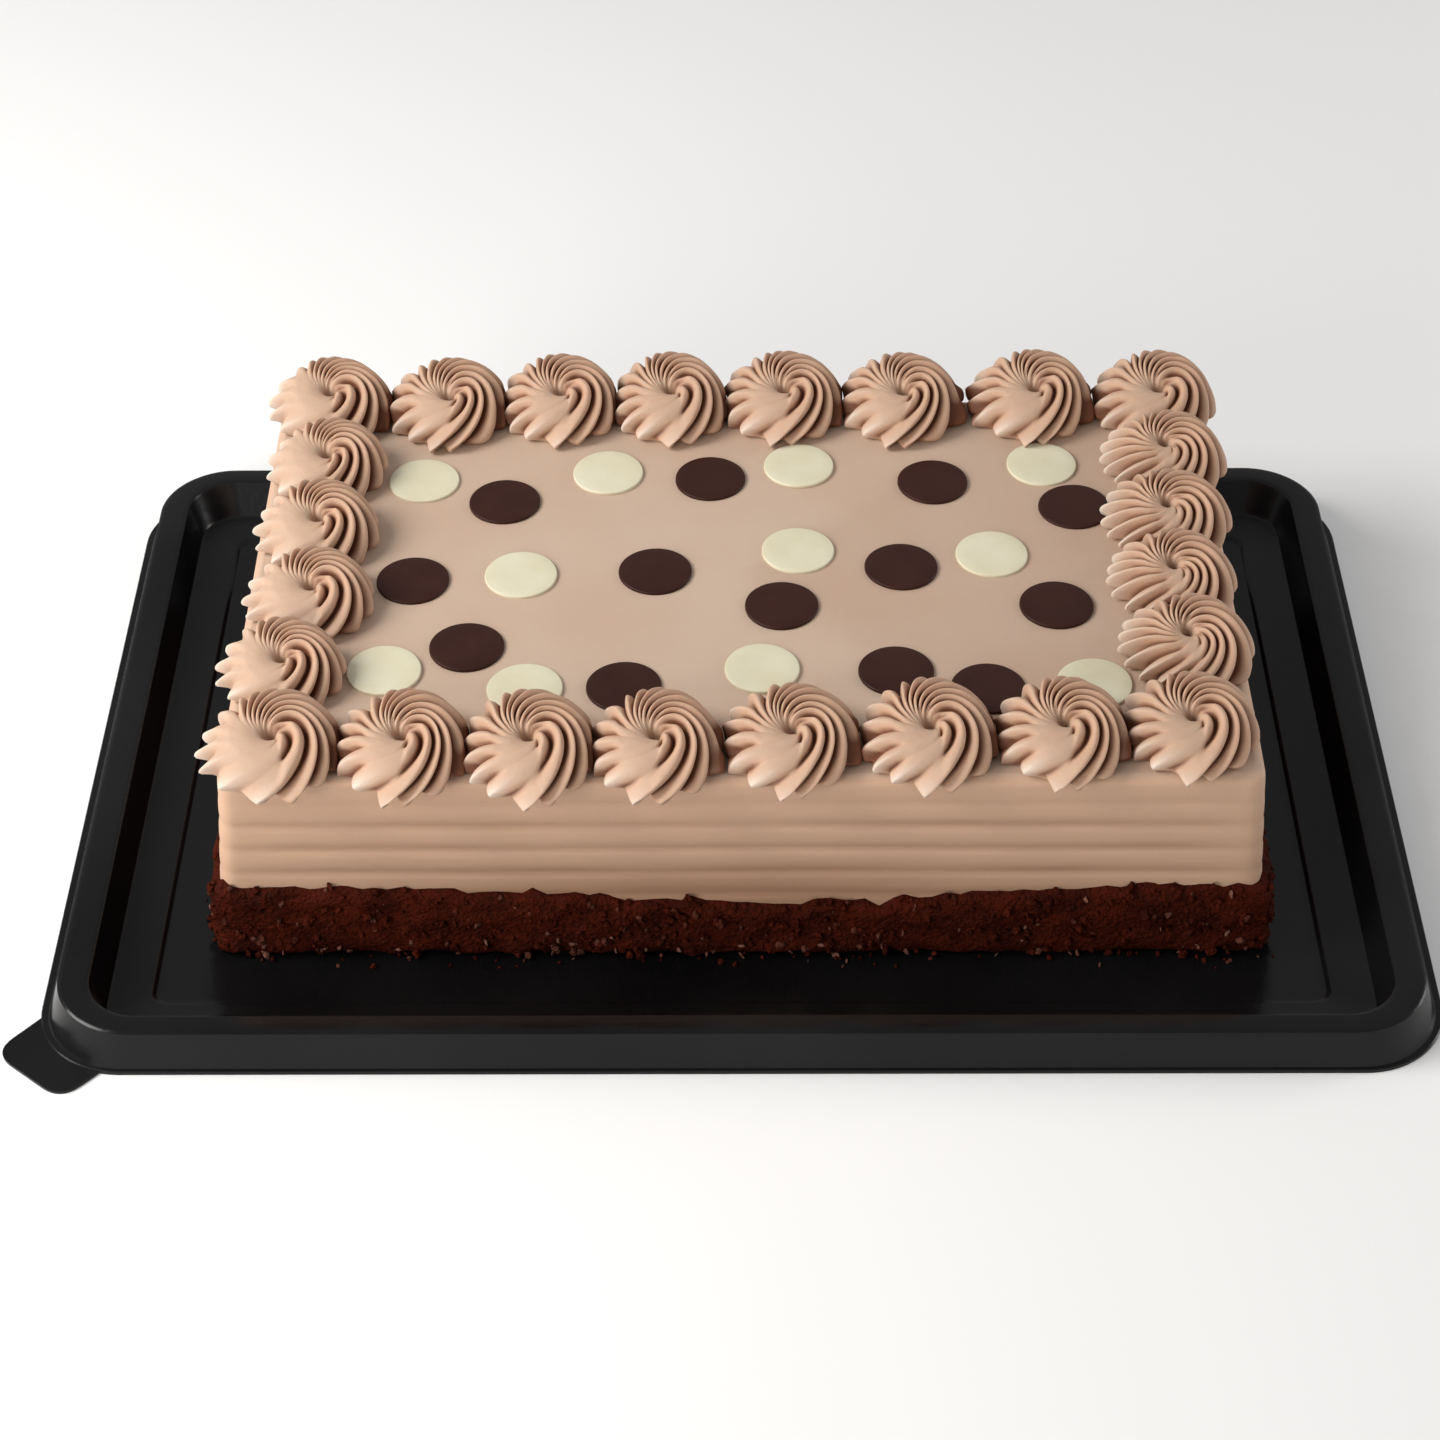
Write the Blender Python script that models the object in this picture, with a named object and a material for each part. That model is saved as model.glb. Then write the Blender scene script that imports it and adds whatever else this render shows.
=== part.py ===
"""An iced chocolate sheet cake with a ring of piped rosettes, on its black plastic tray.

Metres, +Z up. The long side runs along X and the front faces -Y.
The origin is the middle of the tray's flat underside, which stands on the table.
"""

import math
import random

import bmesh
import bpy
import numpy as np

MM = 0.001
GAP = 0.3

# Tray, in millimetres
TRAY_HALF_X = 184.5
TRAY_HALF_Y = 125.6
TRAY_HEIGHT = 12.9
TRAY_CORNER = 22.0
TRAY_WALL = 1.1
SKIRT_FLARE = (3.0, 1.0)
LIP_WIDTH = (3.0, 0.9)
RIM_WIDTH = (9.0, 7.4)
WALL_RUN = 3.0
MOAT_WIDTH = 11.5
PANEL_TOP = 1.1
PANEL_CORNER = 5.0
TRAY_ARC_STEPS = 6

# Lifting tab at the front left corner of the tray: outline corners and their rounding
TAB_CORNERS = ((-189.0, -106.5), (-200.9, -120.0), (-180.0, -137.0), (-170.1, -125.8))
TAB_ROUNDING = 7.0

# Cake under its icing
CAKE_CENTRE_Y = 7.9
CAKE_TOP_HALF_X = 139.5
CAKE_TOP_HALF_Y = 87.1
CAKE_BASE_Z = PANEL_TOP + GAP
CAKE_TOP_Z = 61.8
CAKE_CORNER = 5.0
CAKE_ARC_STEPS = 4
LEAN_X = 0.075
LEAN_Y = 0.042
TOP_ROUNDING = 2.0
COMB_HEIGHTS = (21.0, 29.2, 37.4, 45.6)
COMB_HALF_WIDTH = 1.6
COMB_DEPTH = 0.8

# Band of loose crumbs pressed round the foot of the cake: its heights run from the left end to the right
BAND_HEIGHTS = (
    (-1.0, 23.2), (-0.63, 22.8), (-0.46, 21.5), (-0.28, 19.9), (0.08, 17.4),
    (0.25, 18.1), (0.46, 20.0), (0.64, 22.3), (0.82, 24.0), (1.0, 23.6),
)
BAND_THICKNESS = 2.7
BAND_ROUGHNESS = 0.75
BAND_STEP = 5.3

# Piped rosettes: centres along the four sides, as hand-placed by the piping
ROW_RADIUS = 17.8
COLUMN_RADIUS = 16.8
FRONT_HEIGHT = 12.4
BACK_HEIGHT = 14.0
ROSETTE_ARMS = 15
ROSETTE_SWEEP = 135.0
ROSETTE_SLANT = 0.25
ROSETTE_DROOP = 1.4
FRONT_ROW = (
    (-124.4, -69.7), (-89.7, -69.8), (-55.9, -70.5), (-22.3, -70.0),
    (13.9, -67.4), (50.8, -66.2), (86.6, -65.2), (121.0, -62.6),
)
RIGHT_ROW = ((125.0, -29.1), (124.0, 0.5), (125.3, 30.0), (127.4, 58.7))
BACK_ROW = (
    (126.2, 88.6), (89.0, 88.6), (49.3, 87.2), (13.5, 88.3),
    (-20.7, 88.0), (-53.9, 87.6), (-87.6, 85.6), (-123.0, 86.6),
)
LEFT_ROW = ((-121.6, 55.8), (-121.4, 25.1), (-120.4, -6.1), (-125.3, -37.5))

# Chocolate discs laid on the icing
DISC_RADIUS = 10.4
DISC_THICKNESS = 1.0
DISC_SIDES = 18
DARK_DISCS = (
    (-8.7, 53.8), (57.0, 51.9), (-69.0, 42.7), (97.8, 39.6), (46.1, 11.4), (-24.2, 9.5), (-93.2, 5.5),
    (11.7, -6.2), (89.2, -6.2), (-76.0, -24.3), (42.9, -35.0), (-31.9, -41.5), (67.8, -42.6),
)
WHITE_DISCS = (
    (17.6, 60.1), (89.8, 60.5), (-39.0, 56.9), (-93.4, 53.0), (16.7, 19.0), (72.4, 17.1),
    (-62.5, 8.0), (6.0, -33.8), (-98.2, -34.4), (-59.0, -42.2), (97.0, -40.5),
)


def material(name, colour, roughness, metallic=0.0):
    """A plain Principled BSDF material."""
    made = bpy.data.materials.new(name)
    made.use_nodes = True
    shader = made.node_tree.nodes["Principled BSDF"]
    shader.inputs["Base Color"].default_value = (*colour, 1.0)
    shader.inputs["Roughness"].default_value = roughness
    shader.inputs["Metallic"].default_value = metallic
    made.diffuse_color = (*colour, 1.0)
    return made


def add_object(name, bm, finish, sharp_degrees=40.0):
    """Turns a bmesh in millimetres into a named object in metres."""
    bmesh.ops.scale(bm, vec=(MM, MM, MM), verts=bm.verts)
    bmesh.ops.recalc_face_normals(bm, faces=bm.faces)
    mesh = bpy.data.meshes.new(name)
    bm.to_mesh(mesh)
    bm.free()
    mesh.materials.append(finish)
    mesh.shade_smooth()
    mesh.set_sharp_from_angle(angle=math.radians(sharp_degrees))
    made = bpy.data.objects.new(name, mesh)
    bpy.context.scene.collection.objects.link(made)
    return made


def rounded_rectangle(half_x, half_y, radius, steps):
    """Corner points of a rounded rectangle, anticlockwise from the right side of the front edge."""
    points = []
    for corner in range(4):
        sign_x = 1 if corner in (0, 1) else -1
        sign_y = 1 if corner in (1, 2) else -1
        start = -90.0 + 90.0 * corner
        for step in range(steps + 1):
            angle = math.radians(start + 90.0 * step / steps)
            x = sign_x * (half_x - radius) + radius * math.cos(angle)
            y = sign_y * (half_y - radius) + radius * math.sin(angle)
            points.append((x, y))
    return points


def loft(rings, closed=False):
    """Joins rings of equal length with quads, and caps the two ends unless the loft closes on itself."""
    bm = bmesh.new()
    loops = [[bm.verts.new(point) for point in ring] for ring in rings]
    pairs = list(zip(loops, loops[1:]))
    if closed:
        pairs.append((loops[-1], loops[0]))
    for lower, upper in pairs:
        count = len(lower)
        for i in range(count):
            j = (i + 1) % count
            bm.faces.new((lower[i], lower[j], upper[j], upper[i]))
    if not closed:
        bm.faces.new(list(reversed(loops[0])))
        bm.faces.new(loops[-1])
    return bm


# Tray
def tray_ring(inset_x, inset_y, z, corner):
    """One level of the tray, inset from its outer top edge."""
    outline = rounded_rectangle(TRAY_HALF_X - inset_x, TRAY_HALF_Y - inset_y, corner, TRAY_ARC_STEPS)
    return [(x, y, z) for x, y in outline]


def rounded_outline(corners, radius, steps=4):
    """A polygon whose inner corners are rounded; its first and last corners stay sharp."""
    points = [corners[0]]
    for before, here, after in zip(corners, corners[1:], corners[2:]):
        here = np.array(here)
        to_before = np.array(before) - here
        to_after = np.array(after) - here
        start = here + to_before / np.linalg.norm(to_before) * radius
        end = here + to_after / np.linalg.norm(to_after) * radius
        for step in range(steps + 1):
            t = step / steps
            points.append(tuple((1 - t) ** 2 * start + 2 * t * (1 - t) * here + t * t * end))
    points.append(corners[-1])
    return points


def build_tab(finish):
    """The flat lifting tab, whose root ends inside the thickness of the lip."""
    lip_corner = TRAY_CORNER + 2.0
    centre_x = lip_corner - (TRAY_HALF_X + SKIRT_FLARE[0] + LIP_WIDTH[0])
    centre_y = lip_corner - (TRAY_HALF_Y + SKIRT_FLARE[1] + LIP_WIDTH[1])
    root_radius = lip_corner - 0.55
    outline = rounded_outline(TAB_CORNERS, TAB_ROUNDING)
    for degrees in (255.0, 242.0, 229.0, 216.0, 203.0, 192.0):
        angle = math.radians(degrees)
        outline.append((centre_x + root_radius * math.cos(angle), centre_y + root_radius * math.sin(angle)))
    bm = loft([[(x, y, z) for x, y in outline] for z in (0.0, TRAY_WALL)])
    tab = add_object("tab_shape", bm, finish)
    tab.hide_render = True
    tab.display_type = "WIRE"
    return tab


def build_tray(finish):
    """A thin moulded tray: sunk middle panel, moat, steep inner wall, flat rim, flared skirt and lip."""
    rim_x, rim_y = RIM_WIDTH
    foot_x, foot_y = rim_x + WALL_RUN, rim_y + WALL_RUN
    panel_x, panel_y = foot_x + MOAT_WIDTH, foot_y + MOAT_WIDTH
    skirt_x, skirt_y = -SKIRT_FLARE[0], -SKIRT_FLARE[1]
    lip_x, lip_y = skirt_x - LIP_WIDTH[0], skirt_y - LIP_WIDTH[1]
    wall = TRAY_WALL
    moat_top = PANEL_TOP + wall
    top = TRAY_HEIGHT
    corner = TRAY_CORNER
    levels = (
        (panel_x + 1.6, panel_y + 1.6, PANEL_TOP, PANEL_CORNER - 1.0),
        (panel_x, panel_y, moat_top, PANEL_CORNER),
        (foot_x, foot_y, moat_top, corner - 10.0),
        (rim_x, rim_y, top - 0.5, corner - 8.0),
        (rim_x - 0.8, rim_y - 0.8, top, corner - 7.5),
        (0.8, 0.8, top, corner - 0.8),
        (0.0, 0.0, top - 0.8, corner),
        (skirt_x, skirt_y, wall + 0.3, corner + 1.0),
        (lip_x, lip_y, wall + 0.2, corner + 2.0),
        (lip_x, lip_y, 0.0, corner + 2.0),
        (skirt_x + wall, skirt_y + wall, 0.0, corner + 1.0 - wall),
        (wall, wall, top - wall, corner - wall),
        (rim_x - wall, rim_y - wall, top - wall, corner - 8.0 + wall),
        (foot_x - wall, foot_y - wall, moat_top - wall, corner - 10.0 + wall),
        (panel_x - wall, panel_y - wall, moat_top - wall, PANEL_CORNER + wall),
        (panel_x + 0.6, panel_y + 0.6, 0.0, PANEL_CORNER),
    )
    bm = loft([tray_ring(*level) for level in levels])
    tray = add_object("tray", bm, finish)
    union = tray.modifiers.new("add tab", "BOOLEAN")
    union.operation = "UNION"
    union.solver = "EXACT"
    union.object = build_tab(finish)
    return tray


# Cake
def cake_half_sizes(z):
    """Half width and half depth of the iced sides at a height; the sides lean out towards the foot."""
    below = CAKE_TOP_Z - z
    return CAKE_TOP_HALF_X + LEAN_X * below, CAKE_TOP_HALF_Y + LEAN_Y * below


def cake_ring(z, inset):
    """One level of the iced cake."""
    half_x, half_y = cake_half_sizes(z)
    outline = rounded_rectangle(half_x - inset, half_y - inset, CAKE_CORNER - 0.5 * inset, CAKE_ARC_STEPS)
    return [(x, y + CAKE_CENTRE_Y, z) for x, y in outline]


def build_cake(finish):
    """The solid iced block, with the comb's shallow grooves round its sides."""
    levels = [(CAKE_BASE_Z, 0.0)]
    for height in COMB_HEIGHTS:
        levels.append((height - COMB_HALF_WIDTH, 0.0))
        levels.append((height, COMB_DEPTH))
        levels.append((height + COMB_HALF_WIDTH, 0.0))
    levels.append((CAKE_TOP_Z - TOP_ROUNDING, 0.0))
    levels.append((CAKE_TOP_Z - 0.3 * TOP_ROUNDING, 0.3 * TOP_ROUNDING))
    levels.append((CAKE_TOP_Z, TOP_ROUNDING))
    bm = loft([cake_ring(*level) for level in levels])
    return add_object("iced_cake", bm, finish, 25.0)


# Crumb band
def band_stations():
    """Points round the foot of the cake: side lengths are divided evenly and the corners follow the cake."""
    corners = rounded_rectangle(1.0, 1.0, 0.0, CAKE_ARC_STEPS)
    half_x, half_y = cake_half_sizes(CAKE_BASE_Z)
    stations = []
    count = len(corners)
    for i in range(count):
        stations.append((i, i, 0.0))
        if (i + 1) % (CAKE_ARC_STEPS + 1) == 0:
            along_x = ((i + 1) // (CAKE_ARC_STEPS + 1)) % 2 == 0
            length = 2.0 * (half_x if along_x else half_y)
            pieces = round(length / BAND_STEP)
            for piece in range(1, pieces):
                stations.append((i, (i + 1) % count, piece / pieces))
    return stations


def band_point(station, z, outset):
    """A point on the cake's side at a height, moved outwards."""
    half_x, half_y = cake_half_sizes(z)
    outline = rounded_rectangle(half_x + outset, half_y + outset, CAKE_CORNER + outset, CAKE_ARC_STEPS)
    first, second, share = station
    x = outline[first][0] * (1 - share) + outline[second][0] * share
    y = outline[first][1] * (1 - share) + outline[second][1] * share
    return x, y + CAKE_CENTRE_Y, z


def band_height(across):
    """The band's mean height at a place across the cake, from -1 at its left end to 1 at its right."""
    for (first, low), (last, high) in zip(BAND_HEIGHTS, BAND_HEIGHTS[1:]):
        if across <= last:
            return low + (high - low) * max(0.0, (across - first) / (last - first))
    return BAND_HEIGHTS[-1][1]


def build_band(finish):
    """A closed ring of crumbs, uneven along its upper edge and lumpy on its outer face."""
    rng = random.Random(11)
    sections = []
    for station in band_stations():
        x = band_point(station, CAKE_BASE_Z, 0.0)[0]
        height = band_height(x / cake_half_sizes(CAKE_BASE_Z)[0])
        height += rng.uniform(-1.1, 1.1)
        bumps = [rng.uniform(-BAND_ROUGHNESS, BAND_ROUGHNESS) for _ in range(4)]
        full = BAND_THICKNESS
        top = CAKE_BASE_Z + height
        sections.append([
            band_point(station, CAKE_BASE_Z, GAP),
            band_point(station, CAKE_BASE_Z, GAP + full + bumps[0]),
            band_point(station, CAKE_BASE_Z + 0.33 * height, GAP + full + 0.4 + bumps[1]),
            band_point(station, CAKE_BASE_Z + 0.66 * height, GAP + full + bumps[2]),
            band_point(station, top - 1.6, GAP + 0.75 * full + 0.5 * bumps[3]),
            band_point(station, top, GAP),
        ])
    bm = loft(list(zip(*sections)), closed=True)
    return add_object("crumb_band", bm, finish, 60.0)


# Rosettes
def pressed(point, walls):
    """Squeezes a point back, ever harder, as it nears the flat face where two rosettes press together."""
    reach = 4.0
    x, y = point
    for normal_x, normal_y, distance in walls:
        out = x * normal_x + y * normal_y - (distance - reach)
        if out > 0.0:
            back = out - reach * (1.0 - math.exp(-out / reach))
            x -= back * normal_x
            y -= back * normal_y
    return x, y


def overhang(x, y):
    """How far a point of the plan lies outside the cake's top face."""
    past_x = abs(x) - CAKE_TOP_HALF_X
    past_y = abs(y - CAKE_CENTRE_Y) - CAKE_TOP_HALF_Y
    return max(past_x, past_y, 0.0)


def rosette_rings(centre, walls, radius, height, turn):
    """Rings of one rosette from its foot to its eye, each with a crest and a groove for every arm."""
    profile = (
        (0.86, 0.0, 1.0, 0.03),
        (1.0, 0.30, 0.95, 0.07),
        (0.84, 0.72, 0.8, 0.05),
        (0.52, 1.0, 0.5, 0.0),
        (0.20, 0.93, 0.2, 0.0),
        (0.05, 0.48, 0.0, 0.0),
    )
    columns = 2 * ROSETTE_ARMS
    rings = []
    for share, rise, twist, relief in profile:
        ring = []
        for column in range(columns):
            crest = column % 2 == 0
            angle = 2.0 * math.pi * column / columns + turn - math.radians(ROSETTE_SWEEP) * twist
            spiky = max(0.0, math.cos(angle - math.radians(150.0)))
            tail = max(0.0, math.cos(angle - math.radians(262.0))) ** 8
            reach = share + (relief * (1.0 + spiky) if crest else -relief)
            reach += 0.06 * tail * (share > 0.9)
            lift = 0.0 if crest or rise == 0.0 else -0.11
            slope = 1.0 + ROSETTE_SLANT * share * math.sin(angle)
            x = radius * reach * math.cos(angle)
            y = radius * reach * math.sin(angle)
            x, y = pressed((x, y), walls)
            x += centre[0]
            y += centre[1]
            sag = ROSETTE_DROOP * min(1.0, overhang(x, y) / 8.0) * (rise > 0.0)
            z = CAKE_TOP_Z + GAP + height * slope * (rise + lift * (share > 0.15)) - sag
            ring.append((x, y, z))
        rings.append(ring)
    return rings


def build_rosettes(finish):
    """The closed ring of rosettes, each pressed flat against the two beside it."""
    rng = random.Random(5)
    centres = FRONT_ROW + RIGHT_ROW + BACK_ROW + LEFT_ROW
    for index, centre in enumerate(centres):
        walls = []
        for other in (centres[index - 1], centres[(index + 1) % len(centres)]):
            away_x = other[0] - centre[0]
            away_y = other[1] - centre[1]
            apart = math.hypot(away_x, away_y)
            walls.append((away_x / apart, away_y / apart, 0.5 * (apart - GAP)))
        in_column = centre in RIGHT_ROW or centre in LEFT_ROW
        radius = (COLUMN_RADIUS if in_column else ROW_RADIUS) * rng.uniform(0.98, 1.02)
        height = (BACK_HEIGHT if centre in BACK_ROW else FRONT_HEIGHT) * rng.uniform(0.95, 1.05)
        turn = math.radians(rng.uniform(-8.0, 8.0))
        bm = loft(rosette_rings(centre, walls, radius, height, turn))
        add_object(f"rosette_{index + 1:02d}", bm, finish, 35.0)


# Chocolate discs
def build_discs(name, centres, finish):
    """Thin round plates lying on the icing."""
    base = CAKE_TOP_Z + GAP
    for index, (x, y) in enumerate(centres):
        rings = []
        for z in (base, base + DISC_THICKNESS):
            rings.append([
                (
                    x + DISC_RADIUS * math.cos(2.0 * math.pi * side / DISC_SIDES),
                    y + DISC_RADIUS * math.sin(2.0 * math.pi * side / DISC_SIDES),
                    z,
                )
                for side in range(DISC_SIDES)
            ])
        add_object(f"{name}_{index + 1:02d}", loft(rings), finish)


def main():
    """Clears the scene and models every piece."""
    for old in list(bpy.data.objects):
        bpy.data.objects.remove(old)
    tray_finish = material("black glossy plastic", (0.012, 0.012, 0.013), 0.22)
    icing_finish = material("milk chocolate buttercream", (0.49, 0.33, 0.25), 0.5)
    piping_finish = material("piped milk chocolate buttercream", (0.50, 0.31, 0.22), 0.45)
    crumb_finish = material("dark chocolate crumbs", (0.045, 0.012, 0.007), 0.85)
    dark_finish = material("dark chocolate", (0.050, 0.017, 0.011), 0.4)
    white_finish = material("white chocolate", (0.73, 0.68, 0.50), 0.4)
    build_tray(tray_finish)
    build_cake(icing_finish)
    build_band(crumb_finish)
    build_rosettes(piping_finish)
    build_discs("dark_disc", DARK_DISCS, dark_finish)
    build_discs("white_disc", WHITE_DISCS, white_finish)


main()
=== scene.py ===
"""An iced chocolate sheet cake with piped rosettes and chocolate discs, on its black tray."""

import logging
import math
from dataclasses import dataclass, field
from enum import Enum

import bpy
import numpy as np
from mathutils import Matrix, Vector, noise


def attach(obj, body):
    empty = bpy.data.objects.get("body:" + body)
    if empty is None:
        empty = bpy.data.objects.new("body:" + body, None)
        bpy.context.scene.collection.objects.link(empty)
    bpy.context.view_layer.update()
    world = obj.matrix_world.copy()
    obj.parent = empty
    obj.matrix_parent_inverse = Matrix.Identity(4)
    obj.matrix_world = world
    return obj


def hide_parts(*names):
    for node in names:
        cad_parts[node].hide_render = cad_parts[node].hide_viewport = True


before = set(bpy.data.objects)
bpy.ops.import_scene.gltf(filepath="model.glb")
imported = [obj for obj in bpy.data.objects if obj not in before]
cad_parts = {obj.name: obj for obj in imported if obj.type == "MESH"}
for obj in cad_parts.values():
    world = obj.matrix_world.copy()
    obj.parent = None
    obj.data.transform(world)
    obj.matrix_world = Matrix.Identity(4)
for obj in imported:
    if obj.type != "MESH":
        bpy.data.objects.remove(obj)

LOG = logging.getLogger("cake")
MM = 0.001
BODY = "root"
FULL_TURN = 6.28
HAIR = 1e-6
Pair = tuple[float, float]
Triple = tuple[float, float, float]
Colour = tuple[float, float, float]


# Shader maths
@dataclass(frozen=True)
class Value:
    """A number socket whose Python operators add Math nodes."""

    graph: "Graph"
    socket: bpy.types.NodeSocket

    def _math(self, operation: str, first: object, second: object) -> "Value":
        """Adds one Math node.

        Args:
            operation: the node's operation.
            first: its first value or link.
            second: its second value or link.

        Returns:
            The node's output.
        """
        made = self.graph.node("ShaderNodeMath", {"operation": operation}, {0: first, 1: second})
        return Value(self.graph, made.outputs[0])

    def __add__(self, other: object) -> "Value":
        """Sum."""
        return self._math("ADD", self, other)

    def __radd__(self, other: object) -> "Value":
        """Reflected sum."""
        return self._math("ADD", other, self)

    def __sub__(self, other: object) -> "Value":
        """Difference."""
        return self._math("SUBTRACT", self, other)

    def __rsub__(self, other: object) -> "Value":
        """Reflected difference."""
        return self._math("SUBTRACT", other, self)

    def __mul__(self, other: object) -> "Value":
        """Product."""
        return self._math("MULTIPLY", self, other)

    def __rmul__(self, other: object) -> "Value":
        """Reflected product."""
        return self._math("MULTIPLY", other, self)

    def clamped(self, low: float, high: float) -> "Value":
        """The value held between two limits."""
        return self._math("MINIMUM", self._math("MAXIMUM", low, self), high)


class Graph:
    """One material's node tree, with a single method that adds any node."""

    def __init__(self, name: str) -> None:
        """Starts a material with only its output and a Principled BSDF.

        Args:
            name: the material's name.
        """
        self.material = bpy.data.materials.new(name)
        self.material.use_nodes = True
        self.tree = self.material.node_tree
        self.shader = self.tree.nodes["Principled BSDF"]

    def node(self, kind: str, settings: dict | None = None, inputs: dict | None = None) -> bpy.types.Node:
        """Adds a node of any type.

        Args:
            kind: the node's type.
            settings: its properties, set first.
            inputs: values, sockets or Values by socket name or index.

        Returns:
            The new node.
        """
        made = self.tree.nodes.new(kind)
        for key, setting in (settings or {}).items():
            setattr(made, key, setting)
        for key, given in (inputs or {}).items():
            self.feed(made.inputs[key], given)
        return made

    def feed(self, socket: bpy.types.NodeSocket, given: object) -> None:
        """Sets a socket from a number, or links it.

        Args:
            socket: the input socket.
            given: a number, a tuple, a socket or a Value.
        """
        if isinstance(given, Value):
            given = given.socket
        if isinstance(given, bpy.types.NodeSocket):
            self.tree.links.new(given, socket)
        elif isinstance(given, tuple) and len(given) == 3 and socket.type == "RGBA":
            socket.default_value = (*given, 1.0)
        else:
            socket.default_value = given

    def noise(self, scale: float, detail: float = 3.0, stretch: Triple = (1.0, 1.0, 1.0)) -> Value:
        """Noise on object coordinates.

        Args:
            scale: cells in a metre.
            detail: octaves.
            stretch: scale factors along X, Y and Z.

        Returns:
            The noise, mostly between 0.3 and 0.7.
        """
        place = self.node("ShaderNodeTexCoord").outputs["Object"]
        scaled = self.node("ShaderNodeMapping", {}, {"Vector": place, "Scale": stretch})
        made = self.node(
            "ShaderNodeTexNoise", {}, {"Vector": scaled.outputs[0], "Scale": scale, "Detail": detail}
        )
        return Value(self, made.outputs["Fac"])

    def cells(self, scale: float) -> Value:
        """Distance to the nearest point of a scattered set.

        Args:
            scale: cells in a metre.

        Returns:
            The distance, from 0 at a point.
        """
        place = self.node("ShaderNodeTexCoord").outputs["Object"]
        made = self.node("ShaderNodeTexVoronoi", {}, {"Vector": place, "Scale": scale})
        return Value(self, made.outputs["Distance"])

    def painted(self, name: str) -> Value:
        """A number stored on the mesh.

        Args:
            name: the attribute's name.

        Returns:
            The number at each point.
        """
        made = self.node("ShaderNodeAttribute", {"attribute_name": name})
        return Value(self, made.outputs["Fac"])

    def spread(self, value: Value, low: float, high: float, first: float = 0.0, last: float = 1.0) -> Value:
        """Maps a range onto another one, held at its ends.

        Args:
            value: the number to map.
            low: start of its range.
            high: end of its range.
            first: result at the start.
            last: result at the end.

        Returns:
            The mapped number.
        """
        made = self.node(
            "ShaderNodeMapRange", {}, {0: value, 1: low, 2: high, 3: first, 4: last}
        )
        return Value(self, made.outputs[0])

    def mixed(self, share: object, first: object, second: object) -> bpy.types.NodeSocket:
        """Mixes two colours.

        Args:
            share: how much of the second.
            first: a colour or its socket.
            second: a colour or its socket.

        Returns:
            The mixed colour's socket.
        """
        made = self.node("ShaderNodeMix", {"data_type": "RGBA"}, {0: share, 6: first, 7: second})
        return made.outputs[2]

    def bumped(self, height: Value, strength: float, distance: float) -> bpy.types.NodeSocket:
        """A normal from a height.

        Args:
            height: the height, 0 to 1.
            strength: how much of it shows.
            distance: what a height of 1 stands for, in metres.

        Returns:
            The normal's socket.
        """
        made = self.node("ShaderNodeBump", {}, {"Strength": strength, "Distance": distance, "Height": height})
        return made.outputs["Normal"]

    def dress(self, inputs: dict) -> bpy.types.Material:
        """Feeds the Principled BSDF.

        Args:
            inputs: values or links by socket name.

        Returns:
            The finished material.
        """
        for key, given in inputs.items():
            self.feed(self.shader.inputs[key], given)
        return self.material


# Finishes
@dataclass(frozen=True)
class BlackPlastic:
    """Glossy vacuum-formed plastic, with a faint orange-peel surface."""

    colour: Colour = (0.0030, 0.0030, 0.0034)
    haze: Colour = (0.0060, 0.0060, 0.0065)
    gloss: float = 0.17

    def material(self) -> bpy.types.Material:
        """Mixes the plastic.

        Returns:
            Its material.
        """
        graph = Graph("glossy black plastic")
        cloud = graph.spread(graph.noise(14.0, 4.0), 0.35, 0.65)
        peel = graph.noise(420.0, 2.0)
        return graph.dress({
            "Base Color": graph.mixed(cloud, self.colour, self.haze),
            "Roughness": cloud * 0.09 + self.gloss,
            "Normal": graph.bumped(peel, 0.08, 0.0006),
            "Specular IOR Level": 0.24,
        })


@dataclass(frozen=True)
class SmoothIcing:
    """Spread buttercream, drawn with a spatula on top and with a comb along the sides."""

    colour: Colour = (0.540, 0.405, 0.310)
    warm: Colour = (0.520, 0.370, 0.275)
    # painted shade: the sides are tinted darker and warmer than the top
    side: Colour = (0.560, 0.360, 0.245)
    # painted shade: the dark colour for the comb grooves, the foot of the long sides and the top's right end
    painted_shade: Colour = (0.330, 0.175, 0.105)

    def material(self) -> bpy.types.Material:
        """Mixes the spread icing.

        Returns:
            Its material.
        """
        graph = Graph("smooth milk chocolate icing")
        cloud = graph.spread(graph.noise(22.0, 3.0), 0.36, 0.64)
        tint = graph.mixed(cloud, self.colour, self.warm)
        # painted shade: a darker, warmer tint on the sides than on the top
        tint = graph.mixed(graph.painted("side"), tint, self.side)
        # painted shade stored on the mesh: comb grooves, foot of the long sides, top's right end
        deep = graph.painted("painted_shade").clamped(0.0, 1.0)
        tint = graph.mixed(deep * 0.75, tint, self.painted_shade)
        drawn = graph.noise(60.0, 4.0, (0.35, 0.6, 4.0))
        fine = graph.noise(900.0, 3.0)
        pores = graph.spread(graph.cells(380.0), 0.02, 0.16)
        height = drawn * 0.8 + fine * 0.12 + pores * 0.10
        return graph.dress({
            "Base Color": tint,
            "Roughness": graph.spread(fine, 0.3, 0.7, 0.46, 0.6),
            "Normal": graph.bumped(height, 0.35, 0.0007),
            "Subsurface Weight": 0.12,
            "Subsurface Radius": (1.0, 0.45, 0.28),
            "Subsurface Scale": 0.003,
            "Specular IOR Level": 0.4,
        })


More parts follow.
